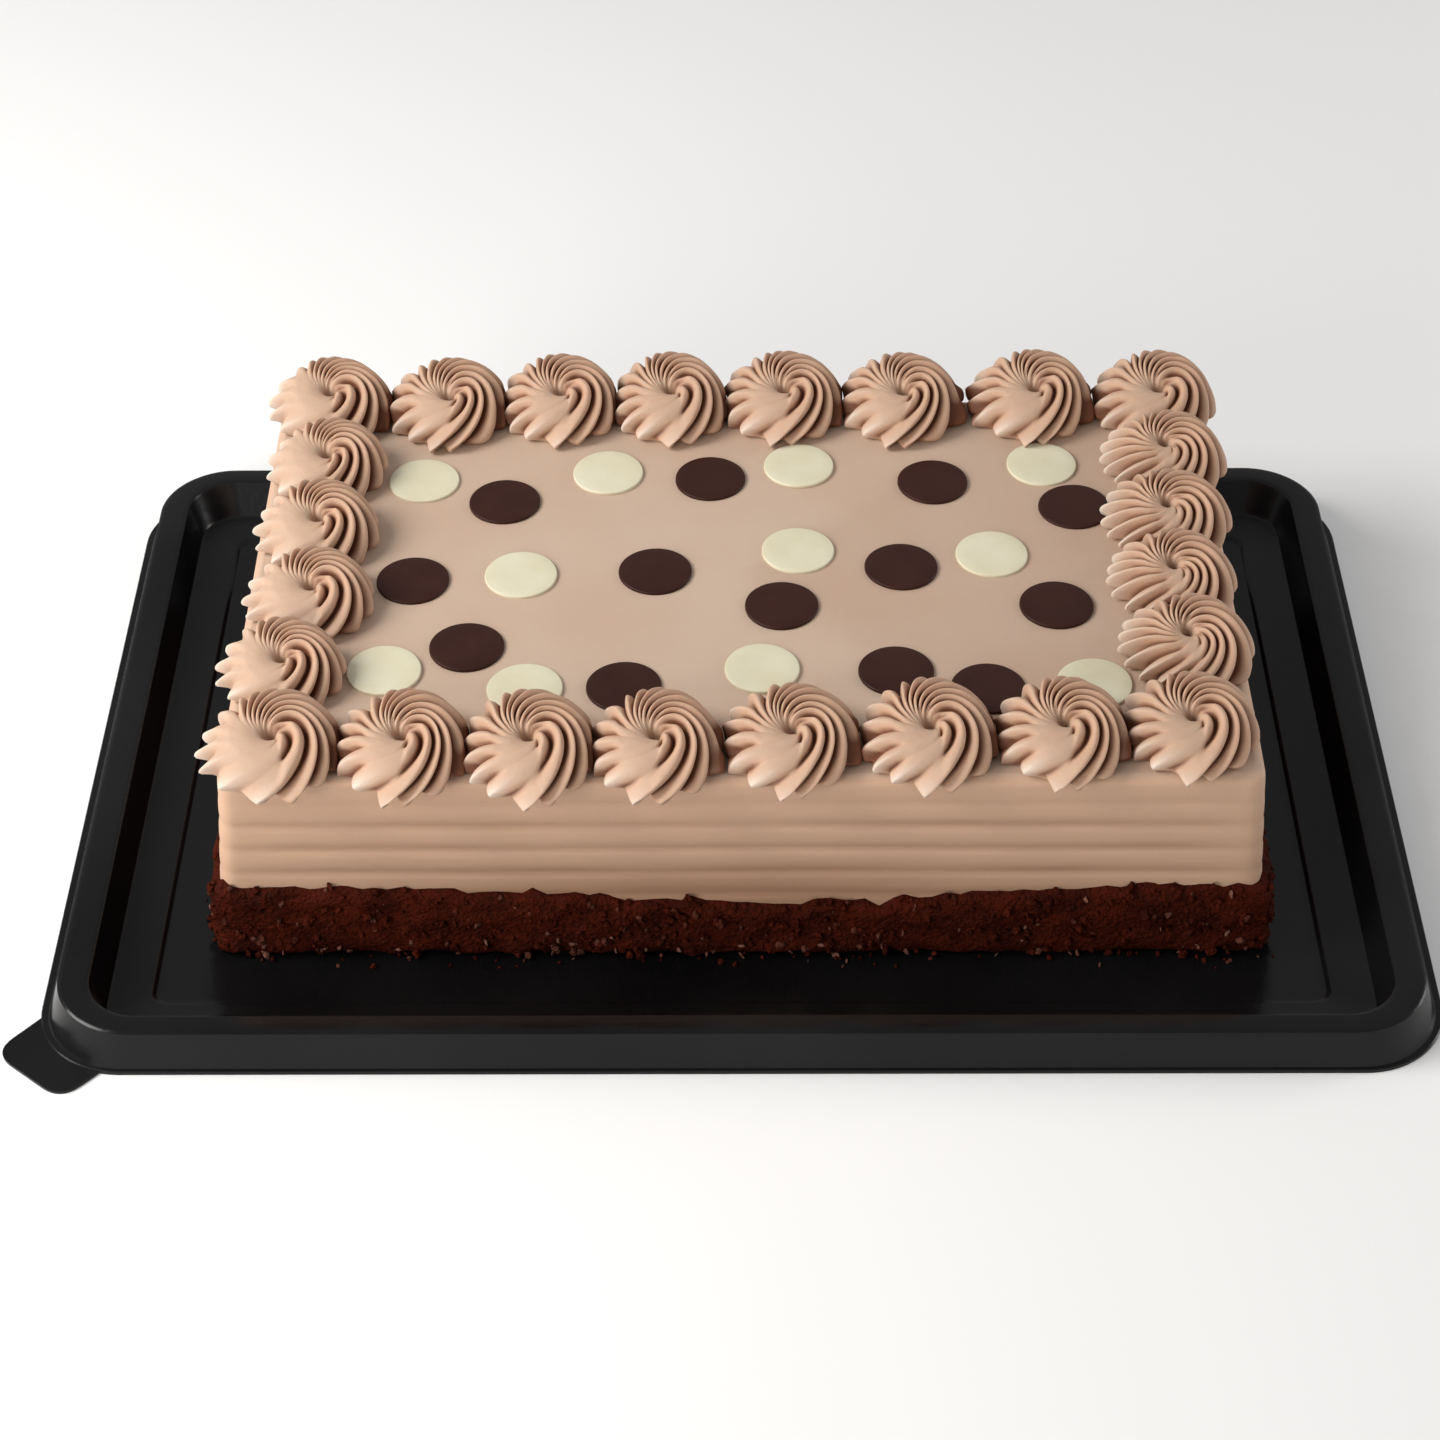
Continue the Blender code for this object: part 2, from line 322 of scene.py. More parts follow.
@dataclass(frozen=True)
class PipedIcing:
    """Buttercream from a star tip: painted highlights on its crests and tips, painted shade in its grooves.
    """

    # painted highlight: the pale colour of the left-hand tips, which face the key light
    tip: Colour = (0.660, 0.560, 0.480)
    # painted highlight: the colour of the lit crests
    lit_crest: Colour = (0.500, 0.337, 0.240)
    flank: Colour = (0.520, 0.320, 0.213)
    # painted shade: the colour deep in the grooves, the eye and the nooks
    painted_shade: Colour = (0.180, 0.065, 0.031)

    def material(self) -> bpy.types.Material:
        """Mixes the piped icing.

        Returns:
            Its material.
        """
        graph = Graph("piped milk chocolate icing")
        # painted light from the mesh: low in the shaded grooves, high on the lit crests
        height = graph.painted("lit_crest")
        cloud = graph.spread(graph.noise(70.0, 3.0), 0.35, 0.65)
        flank = graph.mixed(cloud * 0.35, self.flank, self.lit_crest)
        tint = graph.mixed(graph.spread(height, 0.08, 0.62), self.painted_shade, flank)
        tint = graph.mixed(graph.spread(height, 0.62, 1.0), tint, self.lit_crest)
        # painted highlight on the left-hand tips
        tint = graph.mixed(graph.painted("tip"), tint, self.tip)
        fine = graph.noise(1100.0, 3.0)
        torn = graph.noise(260.0, 5.0)
        return graph.dress({
            "Base Color": tint,
            "Roughness": graph.spread(torn, 0.3, 0.7, 0.50, 0.64),
            "Normal": graph.bumped(fine * 0.3 + torn * 0.7, 0.3, 0.0008),
            "Subsurface Weight": 0.25,
            "Subsurface Radius": (1.0, 0.45, 0.28),
            "Subsurface Scale": 0.003,
            "Specular IOR Level": 0.28,
        })


@dataclass(frozen=True)
class Crumbs:
    """Dry dark cake crumbs, each a little lighter or redder than the next."""

    deep: Colour = (0.022, 0.0030, 0.0012)
    brown: Colour = (0.068, 0.0090, 0.0030)
    pale: Colour = (0.230, 0.1050, 0.0750)

    def material(self) -> bpy.types.Material:
        """Mixes the crumbs.

        Returns:
            Their material.
        """
        graph = Graph("dark chocolate crumbs")
        tone = graph.painted("tone")
        grain = graph.spread(graph.noise(700.0, 4.0), 0.35, 0.65)
        patch = graph.spread(graph.noise(90.0, 3.0), 0.38, 0.62)
        tint = graph.mixed(grain * 0.5 + patch * 0.5, self.deep, self.brown)
        tint = graph.mixed(graph.spread(tone, 0.7, 1.0) * 0.8, tint, self.pale)
        pits = graph.cells(900.0)
        return graph.dress({
            "Base Color": tint,
            "Roughness": graph.spread(grain, 0.0, 1.0, 0.6, 0.9),
            "Normal": graph.bumped(pits * 0.5 + grain * 0.5, 0.8, 0.0010),
            "Specular IOR Level": 0.06,
        })


@dataclass(frozen=True)
class Couverture:
    """A kind of chocolate: its discs' node stem and record slot, its colour and its bloom."""

    stem: str
    slot: str
    colour: Colour
    bloom: Colour


class Chocolate(Enum):
    """The two kinds of disc."""

    DARK = Couverture("dark_disc", "dark_chocolate", (0.030, 0.0080, 0.0050), (0.038, 0.0110, 0.0072))
    WHITE = Couverture("white_disc", "white_chocolate", (0.640, 0.590, 0.420), (0.680, 0.640, 0.490))


@dataclass(frozen=True)
class MouldedChocolate:
    """Thin moulded chocolate with a satin face and a trace of bloom."""

    kind: Chocolate

    def material(self) -> bpy.types.Material:
        """Mixes the chocolate.

        Returns:
            Its material.
        """
        couverture = self.kind.value
        graph = Graph(couverture.stem.replace("_disc", " chocolate"))
        cloud = graph.spread(graph.noise(90.0, 4.0), 0.35, 0.65)
        wave = graph.noise(150.0, 3.0)
        return graph.dress({
            "Base Color": graph.mixed(cloud, couverture.colour, couverture.bloom),
            "Roughness": graph.spread(cloud, 0.0, 1.0, 0.36, 0.48),
            "Normal": graph.bumped(wave, 0.12, 0.0008),
            "Specular IOR Level": 0.2,
        })


@dataclass(frozen=True)
class PaleFloor:
    """The studio's plain pale floor."""

    colour: Colour = (0.86, 0.86, 0.86)
    worn: Colour = (0.80, 0.80, 0.80)

    def material(self) -> bpy.types.Material:
        """Mixes the floor's paint.

        Returns:
            Its material.
        """
        graph = Graph("pale floor")
        cloud = graph.noise(3.0, 2.0)
        return graph.dress({
            "Base Color": graph.mixed(cloud * 0.1, self.colour, self.worn),
            "Roughness": 0.9,
            "Specular IOR Level": 0.1,
        })


# Curves and outlines
def smooth_curve(knots: np.ndarray, values: np.ndarray, at: np.ndarray) -> np.ndarray:
    """A smooth curve through points that never overshoots them.

    Args:
        knots: rising positions of the points.
        values: the points' values.
        at: where to read the curve.

    Returns:
        The curve's values.
    """
    slopes = np.diff(values) / np.diff(knots)
    tangents = np.concatenate([slopes[:1], np.zeros(len(slopes) - 1), slopes[-1:]])
    same = slopes[:-1] * slopes[1:] > 0.0
    total = np.where(same, slopes[:-1] + slopes[1:], 1.0)
    tangents[1:-1] = np.where(same, 2.0 * slopes[:-1] * slopes[1:] / total, 0.0)
    span = np.clip(np.searchsorted(knots, at, side="right") - 1, 0, len(knots) - 2)
    width = knots[span + 1] - knots[span]
    t = np.clip((at - knots[span]) / width, 0.0, 1.0)
    return (
        (1 + 2 * t) * (1 - t) ** 2 * values[span]
        + t * (1 - t) ** 2 * width * tangents[span]
        + t * t * (3 - 2 * t) * values[span + 1]
        + t * t * (t - 1) * width * tangents[span + 1]
    )


def ramp(value: np.ndarray, start: float, length: float) -> np.ndarray:
    """Rises from nought at a start to one a length further on.

    Args:
        value: numbers to test.
        start: where the ramp leaves nought.
        length: how far on it reaches one.

    Returns:
        Weights from 0 to 1.
    """
    return np.clip((value - start) / length, 0.0, 1.0)


def window(value: np.ndarray, low: float, high: float, soft: float) -> np.ndarray:
    """One inside a range and nought outside, with soft ends.

    Args:
        value: numbers to test.
        low: start of the range.
        high: end of the range.
        soft: width of each soft end.

    Returns:
        Weights from 0 to 1.
    """
    rise = np.clip((value - low) / soft + 0.5, 0.0, 1.0)
    fall = np.clip((high - value) / soft + 0.5, 0.0, 1.0)
    edge = np.minimum(rise, fall)
    return edge * edge * (3.0 - 2.0 * edge)


def bumps(points: np.ndarray, size: float, seed: float, octaves: int = 3) -> np.ndarray:
    """Smooth noise at points.

    Args:
        points: places in millimetres.
        size: width of the largest bumps, in millimetres.
        seed: shifts the pattern.
        octaves: number of finer layers.

    Returns:
        Noise of about -1 to 1.
    """
    shift = Vector((seed, 2.3 * seed, -1.7 * seed))
    return np.array([noise.fractal(Vector(p) / size + shift, 1.0, 2.0, octaves) for p in points])


def rounded_rectangle(half_x: float, half_y: float, radius: float, steps: int) -> np.ndarray:
    """Points of a rounded rectangle, anticlockwise from the right end of its front side.

    Args:
        half_x: half its width.
        half_y: half its depth.
        radius: its corner radius.
        steps: pieces of each corner's arc.

    Returns:
        The points, as rows of x and y.
    """
    turn = np.radians(np.linspace(-90.0, 0.0, steps + 1))
    points = []
    for corner, (side_x, side_y) in enumerate(((1, -1), (1, 1), (-1, 1), (-1, -1))):
        angle = turn + 0.5 * math.pi * corner
        x = side_x * (half_x - radius) + radius * np.cos(angle)
        y = side_y * (half_y - radius) + radius * np.sin(angle)
        points.append(np.column_stack([x, y]))
    return np.concatenate(points)


# Mesh work
class Bench:
    """Helpers for making one mesh object at a time."""

    @staticmethod
    def clear() -> None:
        """Deselects everything, so that an operator acts on the new piece alone."""
        bpy.ops.object.select_all(action="DESELECT")

    @staticmethod
    def pick(made: bpy.types.Object) -> None:
        """Selects one object alone and makes it active.

        Args:
            made: the object.
        """
        Bench.clear()
        made.select_set(True)
        bpy.context.view_layer.objects.active = made

    @staticmethod
    def name(label: str) -> bpy.types.Object:
        """Names the active object and its mesh.

        Args:
            label: the piece's name.

        Returns:
            The object.
        """
        made = bpy.context.view_layer.objects.active
        made.name = label
        made.data.name = label
        return made

    @staticmethod
    def points(made: bpy.types.Object) -> np.ndarray:
        """The object's points.

        Args:
            made: the object.

        Returns:
            Rows of x, y and z.
        """
        flat = np.empty(3 * len(made.data.vertices))
        made.data.vertices.foreach_get("co", flat)
        return flat.reshape(-1, 3)

    @staticmethod
    def move(made: bpy.types.Object, places: np.ndarray) -> None:
        """Moves every point of an object.

        Args:
            made: the object.
            places: new places in millimetres.
        """
        made.data.vertices.foreach_set("co", (places * MM).ravel())
        made.data.update()

    @staticmethod
    def paint(made: bpy.types.Object, name: str, values: np.ndarray) -> None:
        """Stores a number at every point.

        Args:
            made: the object.
            name: the attribute's name.
            values: one number for each point.
        """
        layer = made.data.attributes.new(name, "FLOAT", "POINT")
        layer.data.foreach_set("value", values.astype(np.float32))

    @staticmethod
    def apply(made: bpy.types.Object, kind: str, settings: dict) -> None:
        """Adds a modifier and applies it.

        Args:
            made: the object.
            kind: the modifier's type.
            settings: its properties.
        """
        Bench.pick(made)
        modifier = made.modifiers.new(kind, kind)
        for key, setting in settings.items():
            setattr(modifier, key, setting)
        bpy.ops.object.modifier_apply(modifier=modifier.name)

    @staticmethod
    def outward(made: bpy.types.Object, smooth_degrees: float) -> None:
        """Turns faces outwards and smooths the shading.

        Args:
            made: the object.
            smooth_degrees: edges sharper than this stay sharp.
        """
        Bench.pick(made)
        bpy.ops.object.mode_set(mode="EDIT")
        bpy.ops.mesh.select_all(action="SELECT")
        bpy.ops.mesh.normals_make_consistent(inside=False)
        bpy.ops.object.mode_set(mode="OBJECT")
        bpy.ops.object.shade_smooth_by_angle(angle=math.radians(smooth_degrees))

    @staticmethod
    def enter(made: bpy.types.Object, finish: bpy.types.Material, slot: str, nodes: list[str]) -> None:
        """Gives a piece its finish, its body and the nodes that it stands for.

        Args:
            made: the piece.
            finish: its material.
            slot: the record's material slot, not used.
            nodes: the nodes that it replaces.
        """
        made.data.materials.clear()
        made.data.materials.append(finish)
        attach(made, BODY)
        if nodes:
            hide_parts(*nodes)
        LOG.info("%s: %d faces", made.name, len(made.data.polygons))


# Tray
@dataclass
class Tray:
    """The moulded tray: sunk panel, moat, steep wall, flat rim, flared skirt, foot lip and lifting tab.

    Sizes are in millimetres and pairs are across and along. half is that of the rim's outer edge;
    rim, wall_run and moat are widths inwards from there, flare and lip widths outwards. Above
    shift_from, the tray lies further and further back, by rim_shift at its rim. The tab's outline
    runs from the tray round its corners, and its root follows the lip between two directions.
    """

    half: Pair = (184.5, 125.6)
    height: float = 12.9
    corner: float = 22.0
    wall: float = 1.1
    flare: Pair = (3.0, 1.0)
    lip: Pair = (2.5, 0.9)
    rim: Pair = (9.0, 7.4)
    wall_run: float = 3.0
    moat: float = 11.5
    panel_top: float = 1.1
    panel_corner: float = 5.0
    arc_steps: int = 16
    rim_shift: float = 0.9
    shift_from: float = 2.3
    tab_corners: tuple[Pair, ...] = ((-189.0, -106.5), (-200.6, -119.9), (-180.0, -136.7), (-170.1, -125.8))
    tab_rounding: float = 7.0
    tab_thickness: float = 0.8
    tab_root: Pair = (255.0, 192.0)
    smooth_below: float = 30.0
    finish: BlackPlastic = field(default_factory=BlackPlastic)

    def _top_levels(self) -> list[tuple[np.ndarray, float, float]]:
        """The section's upper face, from the sunk panel out to the rim's brink.

        Returns:
            Each ring's insets, height and corner radius.
        """
        rim = np.array(self.rim)
        foot = rim + self.wall_run
        edge = foot + self.moat
        brink = np.zeros(2)
        moat = self.panel_top + self.wall
        top = self.height
        corner = self.corner
        return [
            (edge + 1.9, self.panel_top, self.panel_corner - 1.0),
            (edge + 1.4, self.panel_top + 0.12, self.panel_corner - 1.0),
            (edge + 0.5, moat - 0.12, self.panel_corner - 0.5),
            (edge, moat, self.panel_corner),
            (foot + 1.3, moat, corner - 11.2),
            (foot + 0.4, moat + 0.35, corner - 10.4),
            (foot - 0.1, moat + 1.2, corner - 10.0),
            (rim + 0.15, top - 1.2, corner - 8.2),
            (rim - 0.2, top - 0.45, corner - 8.0),
            (rim - 0.9, top - 0.08, corner - 7.6),
            (rim - 1.6, top, corner - 7.2),
            (brink + 1.5, top, corner - 1.4),
            (brink + 0.75, top - 0.12, corner - 0.8),
            (brink + 0.2, top - 0.5, corner - 0.2),
            (brink, top - 1.2, corner),
        ]

    def _under_levels(self) -> list[tuple[np.ndarray, float, float]]:
        """The section from the skirt and the foot lip back under to the panel.

        Returns:
            Each ring's insets, height and corner radius.
        """
        wall = self.wall
        rim = np.array(self.rim)
        foot = rim + self.wall_run
        edge = foot + self.moat
        skirt = -np.array(self.flare)
        lip = skirt - np.array(self.lip)
        brink = np.zeros(2)
        moat = self.panel_top + wall
        top = self.height
        corner = self.corner
        return [
            (0.9 * skirt, wall + 1.6, corner + 0.9),
            (skirt - 0.15, wall + 0.5, corner + 1.0),
            (skirt + 0.2 * (lip - skirt), wall + 0.25, corner + 1.2),
            (lip + 0.25, wall + 0.15, corner + 1.9),
            (lip, wall - 0.1, corner + 2.0),
            (lip, 0.0, corner + 2.0),
            (skirt + wall, 0.0, corner + 1.0 - wall),
            (brink + wall, top - wall, corner - wall),
            (rim - wall, top - wall, corner - 8.0 + wall),
            (foot - wall, moat - wall, corner - 10.0 + wall),
            (edge - wall, moat - wall, self.panel_corner + wall),
            (edge + 0.6, 0.0, self.panel_corner),
        ]

    def _ring(self, inset: np.ndarray, z: float, corner: float) -> np.ndarray:
        """One ring of the section.

        Args:
            inset: how far inside the rim's edge, across and along.
            z: its height.
            corner: its corner radius.

        Returns:
            Its places.
        """
        ring = rounded_rectangle(self.half[0] - inset[0], self.half[1] - inset[1], corner, self.arc_steps)
        ring[:, 1] += self.rim_shift * max(z - self.shift_from, 0.0) / (self.height - self.shift_from)
        return np.column_stack([ring, np.full(len(ring), z)])

    def _shell(self) -> bpy.types.Object:
        """Draws the panel's outline as a circle, extrudes it ring by ring and fills its ends.

        Returns:
            The tray without its tab.
        """
        levels = self._top_levels() + self._under_levels()
        count = 4 * (self.arc_steps + 1)
        Bench.clear()
        bpy.ops.mesh.primitive_circle_add(vertices=count, radius=0.1, fill_type="NOTHING", location=(0, 0, 0))
        made = Bench.name("serving_tray")
        bpy.ops.object.mode_set(mode="EDIT")
        bpy.ops.mesh.select_all(action="SELECT")
        for _ in levels[1:]:
            bpy.ops.mesh.extrude_region_move()
        bpy.ops.object.mode_set(mode="OBJECT")
        Bench.move(made, np.concatenate([self._ring(*level) for level in levels]))
        bpy.ops.object.mode_set(mode="EDIT")
        bpy.ops.mesh.select_all(action="DESELECT")
        bpy.ops.mesh.select_mode(type="EDGE")
        bpy.ops.mesh.select_non_manifold()
        bpy.ops.mesh.edge_face_add()
        bpy.ops.object.mode_set(mode="OBJECT")
        return made

    def _tab_outline(self) -> np.ndarray:
        """The tab's outline: rounded corners outside, an arc inside the lip at its root.

        Returns:
            Rows of x and y.
        """
        corners = [np.array(corner) for corner in self.tab_corners]
        outline = [corners[0]]
        for before, here, after in zip(corners, corners[1:], corners[2:]):
            start = here + (before - here) / np.linalg.norm(before - here) * self.tab_rounding
            end = here + (after - here) / np.linalg.norm(after - here) * self.tab_rounding
            for t in np.linspace(0.0, 1.0, 9):
                outline.append((1 - t) ** 2 * start + 2 * t * (1 - t) * here + t * t * end)
        outline.append(corners[-1])
        bend = self.corner + 2.0
        centre = bend - np.array(self.half) - np.array(self.flare) - np.array(self.lip)
        reach = bend - 0.5 * self.wall
        for angle in np.radians(np.linspace(*self.tab_root, 12)):
            outline.append(centre + reach * np.array([math.cos(angle), math.sin(angle)]))
        return np.array(outline)

    def _tab(self) -> bpy.types.Object:
        """Fills the tab's outline and extrudes it upwards.

        Returns:
            The tab.
        """
        outline = self._tab_outline()
        count = len(outline)
        Bench.clear()
        bpy.ops.mesh.primitive_circle_add(vertices=count, radius=0.02, fill_type="NGON", location=(0, 0, 0))
        tab = Bench.name("lifting_tab")
        Bench.move(tab, np.column_stack([outline, np.zeros(count)]))
        rise = self.tab_thickness * self.wall * MM
        bpy.ops.object.mode_set(mode="EDIT")
        bpy.ops.mesh.select_all(action="SELECT")
        bpy.ops.mesh.extrude_region_move(TRANSFORM_OT_translate={"value": (0, 0, rise)})
        bpy.ops.mesh.select_all(action="SELECT")
        bpy.ops.mesh.normals_make_consistent(inside=False)
        bpy.ops.object.mode_set(mode="OBJECT")
        return tab

    def build(self) -> None:
        """Makes the tray with its tab and dresses it."""
        made = self._shell()
        Bench.outward(made, self.smooth_below)
        tab = self._tab()
        Bench.apply(made, "BOOLEAN", {"operation": "UNION", "object": tab, "solver": "EXACT"})
        bpy.data.objects.remove(tab)
        Bench.outward(made, self.smooth_below)
        Bench.enter(made, self.finish.material(), "tray", ["tray"])


# Cake
@dataclass
class IcedCake:
    """The iced block: smooth top, comb grooves along leaning sides, softly rounded edges.

    Sizes are in millimetres. Half sizes are those of the top, edge is the top edge's rounding, and
    lean says how much the sides spread for each millimetre down. Each of the grooves has a height and
    a depth. shade_from is the height where the painted shade on the long sides starts, darkening downwards.
    """

    centre_y: float = 7.9
    half_x: float = 139.5
    half_y: float = 87.1
    base_z: float = 1.2
    top_z: float = 61.8
    corner: float = 5.0
    edge: float = 2.4
    lean_x: float = 0.075
    lean_y: float = 0.042
    grooves: tuple[Pair, ...] = ((21.0, 0.7), (29.2, 0.85), (37.4, 0.85), (45.6, 0.8), (53.6, 0.3))
    groove_width: float = 1.0
    groove_wander: float = 0.55
    groove_shade: float = 0.72
    shade_from: float = 37.0
    lid_swell: float = 0.22
    cuts: int = 63
    smooth_below: float = 60.0
    finish: SmoothIcing = field(default_factory=SmoothIcing)

    def halves(self, z: np.ndarray | float) -> tuple:
        """Half width and half depth at a height."""
        below = self.top_z - z
        return self.half_x + self.lean_x * below, self.half_y + self.lean_y * below

    def side_outline(self, z: float, steps: int) -> np.ndarray:
        """The side's outline at a height.

        Args:
            z: the height.
            steps: pieces of each corner's arc.

        Returns:
            Points of the outline.
        """
        half_x, half_y = self.halves(z)
        ring = rounded_rectangle(half_x, half_y, self.corner, steps)
        return ring + np.array([0.0, self.centre_y])

    def _comb(self, x: np.ndarray, y: np.ndarray, z: np.ndarray) -> tuple[np.ndarray, np.ndarray]:
        """How deep the comb cut the side at points.

        Args:
            x: across, in millimetres.
            y: along, in millimetres.
            z: heights.

        Returns:
            The depth in millimetres, and the same from 0 to 1 as the weight of the painted shade in the
            grooves.
        """
        flat = np.column_stack([x, y, np.zeros_like(x)])
        wave = self.groove_wander * bumps(flat, 70.0, 3.1, 2)
        at_end = np.abs(x) > self.half_x - 2.0
        to_corner = np.where(
            at_end, self.half_y - np.abs(y - self.centre_y) + 4.0, self.half_x - np.abs(x) + 4.0
        )
        fade = 0.15 + 0.85 * np.clip(to_corner / 22.0, 0.0, 1.0)
        depth = np.zeros_like(x)
        for index, (height, deep) in enumerate(self.grooves):
            patch = 0.75 + 0.45 * bumps(flat, 45.0, 9.0 + index, 2)
            off = (z - height - wave) / self.groove_width
            bell = np.exp(-(off**2)) + 0.35 * np.exp(-((off - 1.6) ** 2) / 2.0)
            depth += deep * np.clip(patch, 0.25, 1.2) * fade * bell
        return depth, np.clip(depth / 0.9, 0.0, 1.0)

    def _outer(self, a: np.ndarray, b: np.ndarray, z: np.ndarray) -> tuple[np.ndarray, ...]:
        """Places on the uncombed sides, with rounded corners and top edge.

        Args:
            a: across, from -1 to 1.
            b: along, from -1 to 1.
            z: heights.

        Returns:
            The places across and along, and the directions outwards there, across and along.
        """
        above = np.clip((z - (self.top_z - self.edge)) / self.edge, 0.0, 1.0)
        inset = self.edge * (1.0 - np.sqrt(1.0 - above**2))
        half_x, half_y = self.halves(z)
        half_x = half_x - inset
        half_y = half_y - inset
        x = a * half_x
        y = b * half_y
        inner_x = np.clip(x, self.corner - half_x, half_x - self.corner)
        inner_y = np.clip(y, self.corner - half_y, half_y - self.corner)
        reach = np.maximum(np.hypot(x - inner_x, y - inner_y), 1e-9)
        out_x = (x - inner_x) / reach
        out_y = (y - inner_y) / reach
        return inner_x + self.corner * out_x, inner_y + self.corner * out_y, out_x, out_y

    def _low_shade(self, x: np.ndarray, z: np.ndarray, out_y: np.ndarray) -> np.ndarray:
        """How much the long sides darken towards the foot, most in their middle.

        Args:
            x: across, in millimetres.
            z: heights.
            out_y: how much the side faces along.

        Returns:
            The shade, from 0 to 1.
        """
        low = np.clip((self.shade_from - z) / 15.0, 0.0, 1.0)
        low = low * np.clip(1.15 - np.abs(x / self.half_x + 0.05) * 1.2, 0.0, 1.0)
        return low * (np.abs(out_y) > 0.5)

    def _block(self) -> bpy.types.Object:
        """The cube that the block is shaped from, subdivided.

        Returns:
            The cube, 2 m wide.
        """
        Bench.clear()
        bpy.ops.mesh.primitive_cube_add(size=2.0, location=(0, 0, 0))
        made = Bench.name("iced_block")
        bpy.ops.object.mode_set(mode="EDIT")
        bpy.ops.mesh.select_all(action="SELECT")
        bpy.ops.mesh.subdivide(number_cuts=self.cuts)
        bpy.ops.object.mode_set(mode="OBJECT")
        return made

    def build(self) -> None:
        """Shapes the block and dresses it."""
        made = self._block()
        cube = Bench.points(made)
        a = np.sin(0.5 * math.pi * cube[:, 0])
        b = np.sin(0.5 * math.pi * cube[:, 1])
        level = 0.5 * (cube[:, 2] + 1.0)
        z = self.base_z + level * (self.top_z - self.base_z)
        scale = np.maximum(np.maximum(np.abs(a), np.abs(b)), 1e-9)
        lid = level > 1.0 - HAIR
        side = (scale > 1.0 - HAIR) & (level > HAIR) & ~(level >= 1.0 - HAIR)
        x, y, out_x, out_y = self._outer(a / scale, b / scale, z)
        depth, painted_shade = self._comb(x, y + self.centre_y, z)
        depth = np.where(side, depth, 0.0)
        # painted shade: the top darkens towards its right end, beside the right-hand rosettes
        lid_shade = 0.26 * ramp(x, 70.0, 40.0)
        shade = np.where(side, self.groove_shade * painted_shade + self._low_shade(x, z, out_y), lid_shade)
        soft = 0.35 * bumps(np.column_stack([x, y, z]), 60.0, 5.0, 2)
        x = (x - (depth - soft) * out_x * side) * scale
        y = (y - (depth - soft) * out_y * side) * scale
        swell = self.lid_swell * bumps(np.column_stack([x, y, z]), 38.0, 1.0, 2) * (1 - scale**6)
        z = z + np.where(lid, swell, 0.0)
        Bench.move(made, np.column_stack([x, y + self.centre_y, z]))
        # stores the painted shade for the finish
        Bench.paint(made, "painted_shade", shade)
        # marks the sides for their painted shade tint
        Bench.paint(made, "side", side.astype(float))
        Bench.outward(made, self.smooth_below)
        Bench.enter(made, self.finish.material(), "icing", ["iced_cake"])


# Crumbs
@dataclass(frozen=True)
class Foot:
    """The line round the cake's foot: evenly spread places, directions outwards and the band's height."""

    places: np.ndarray
    out: np.ndarray
    tall: np.ndarray


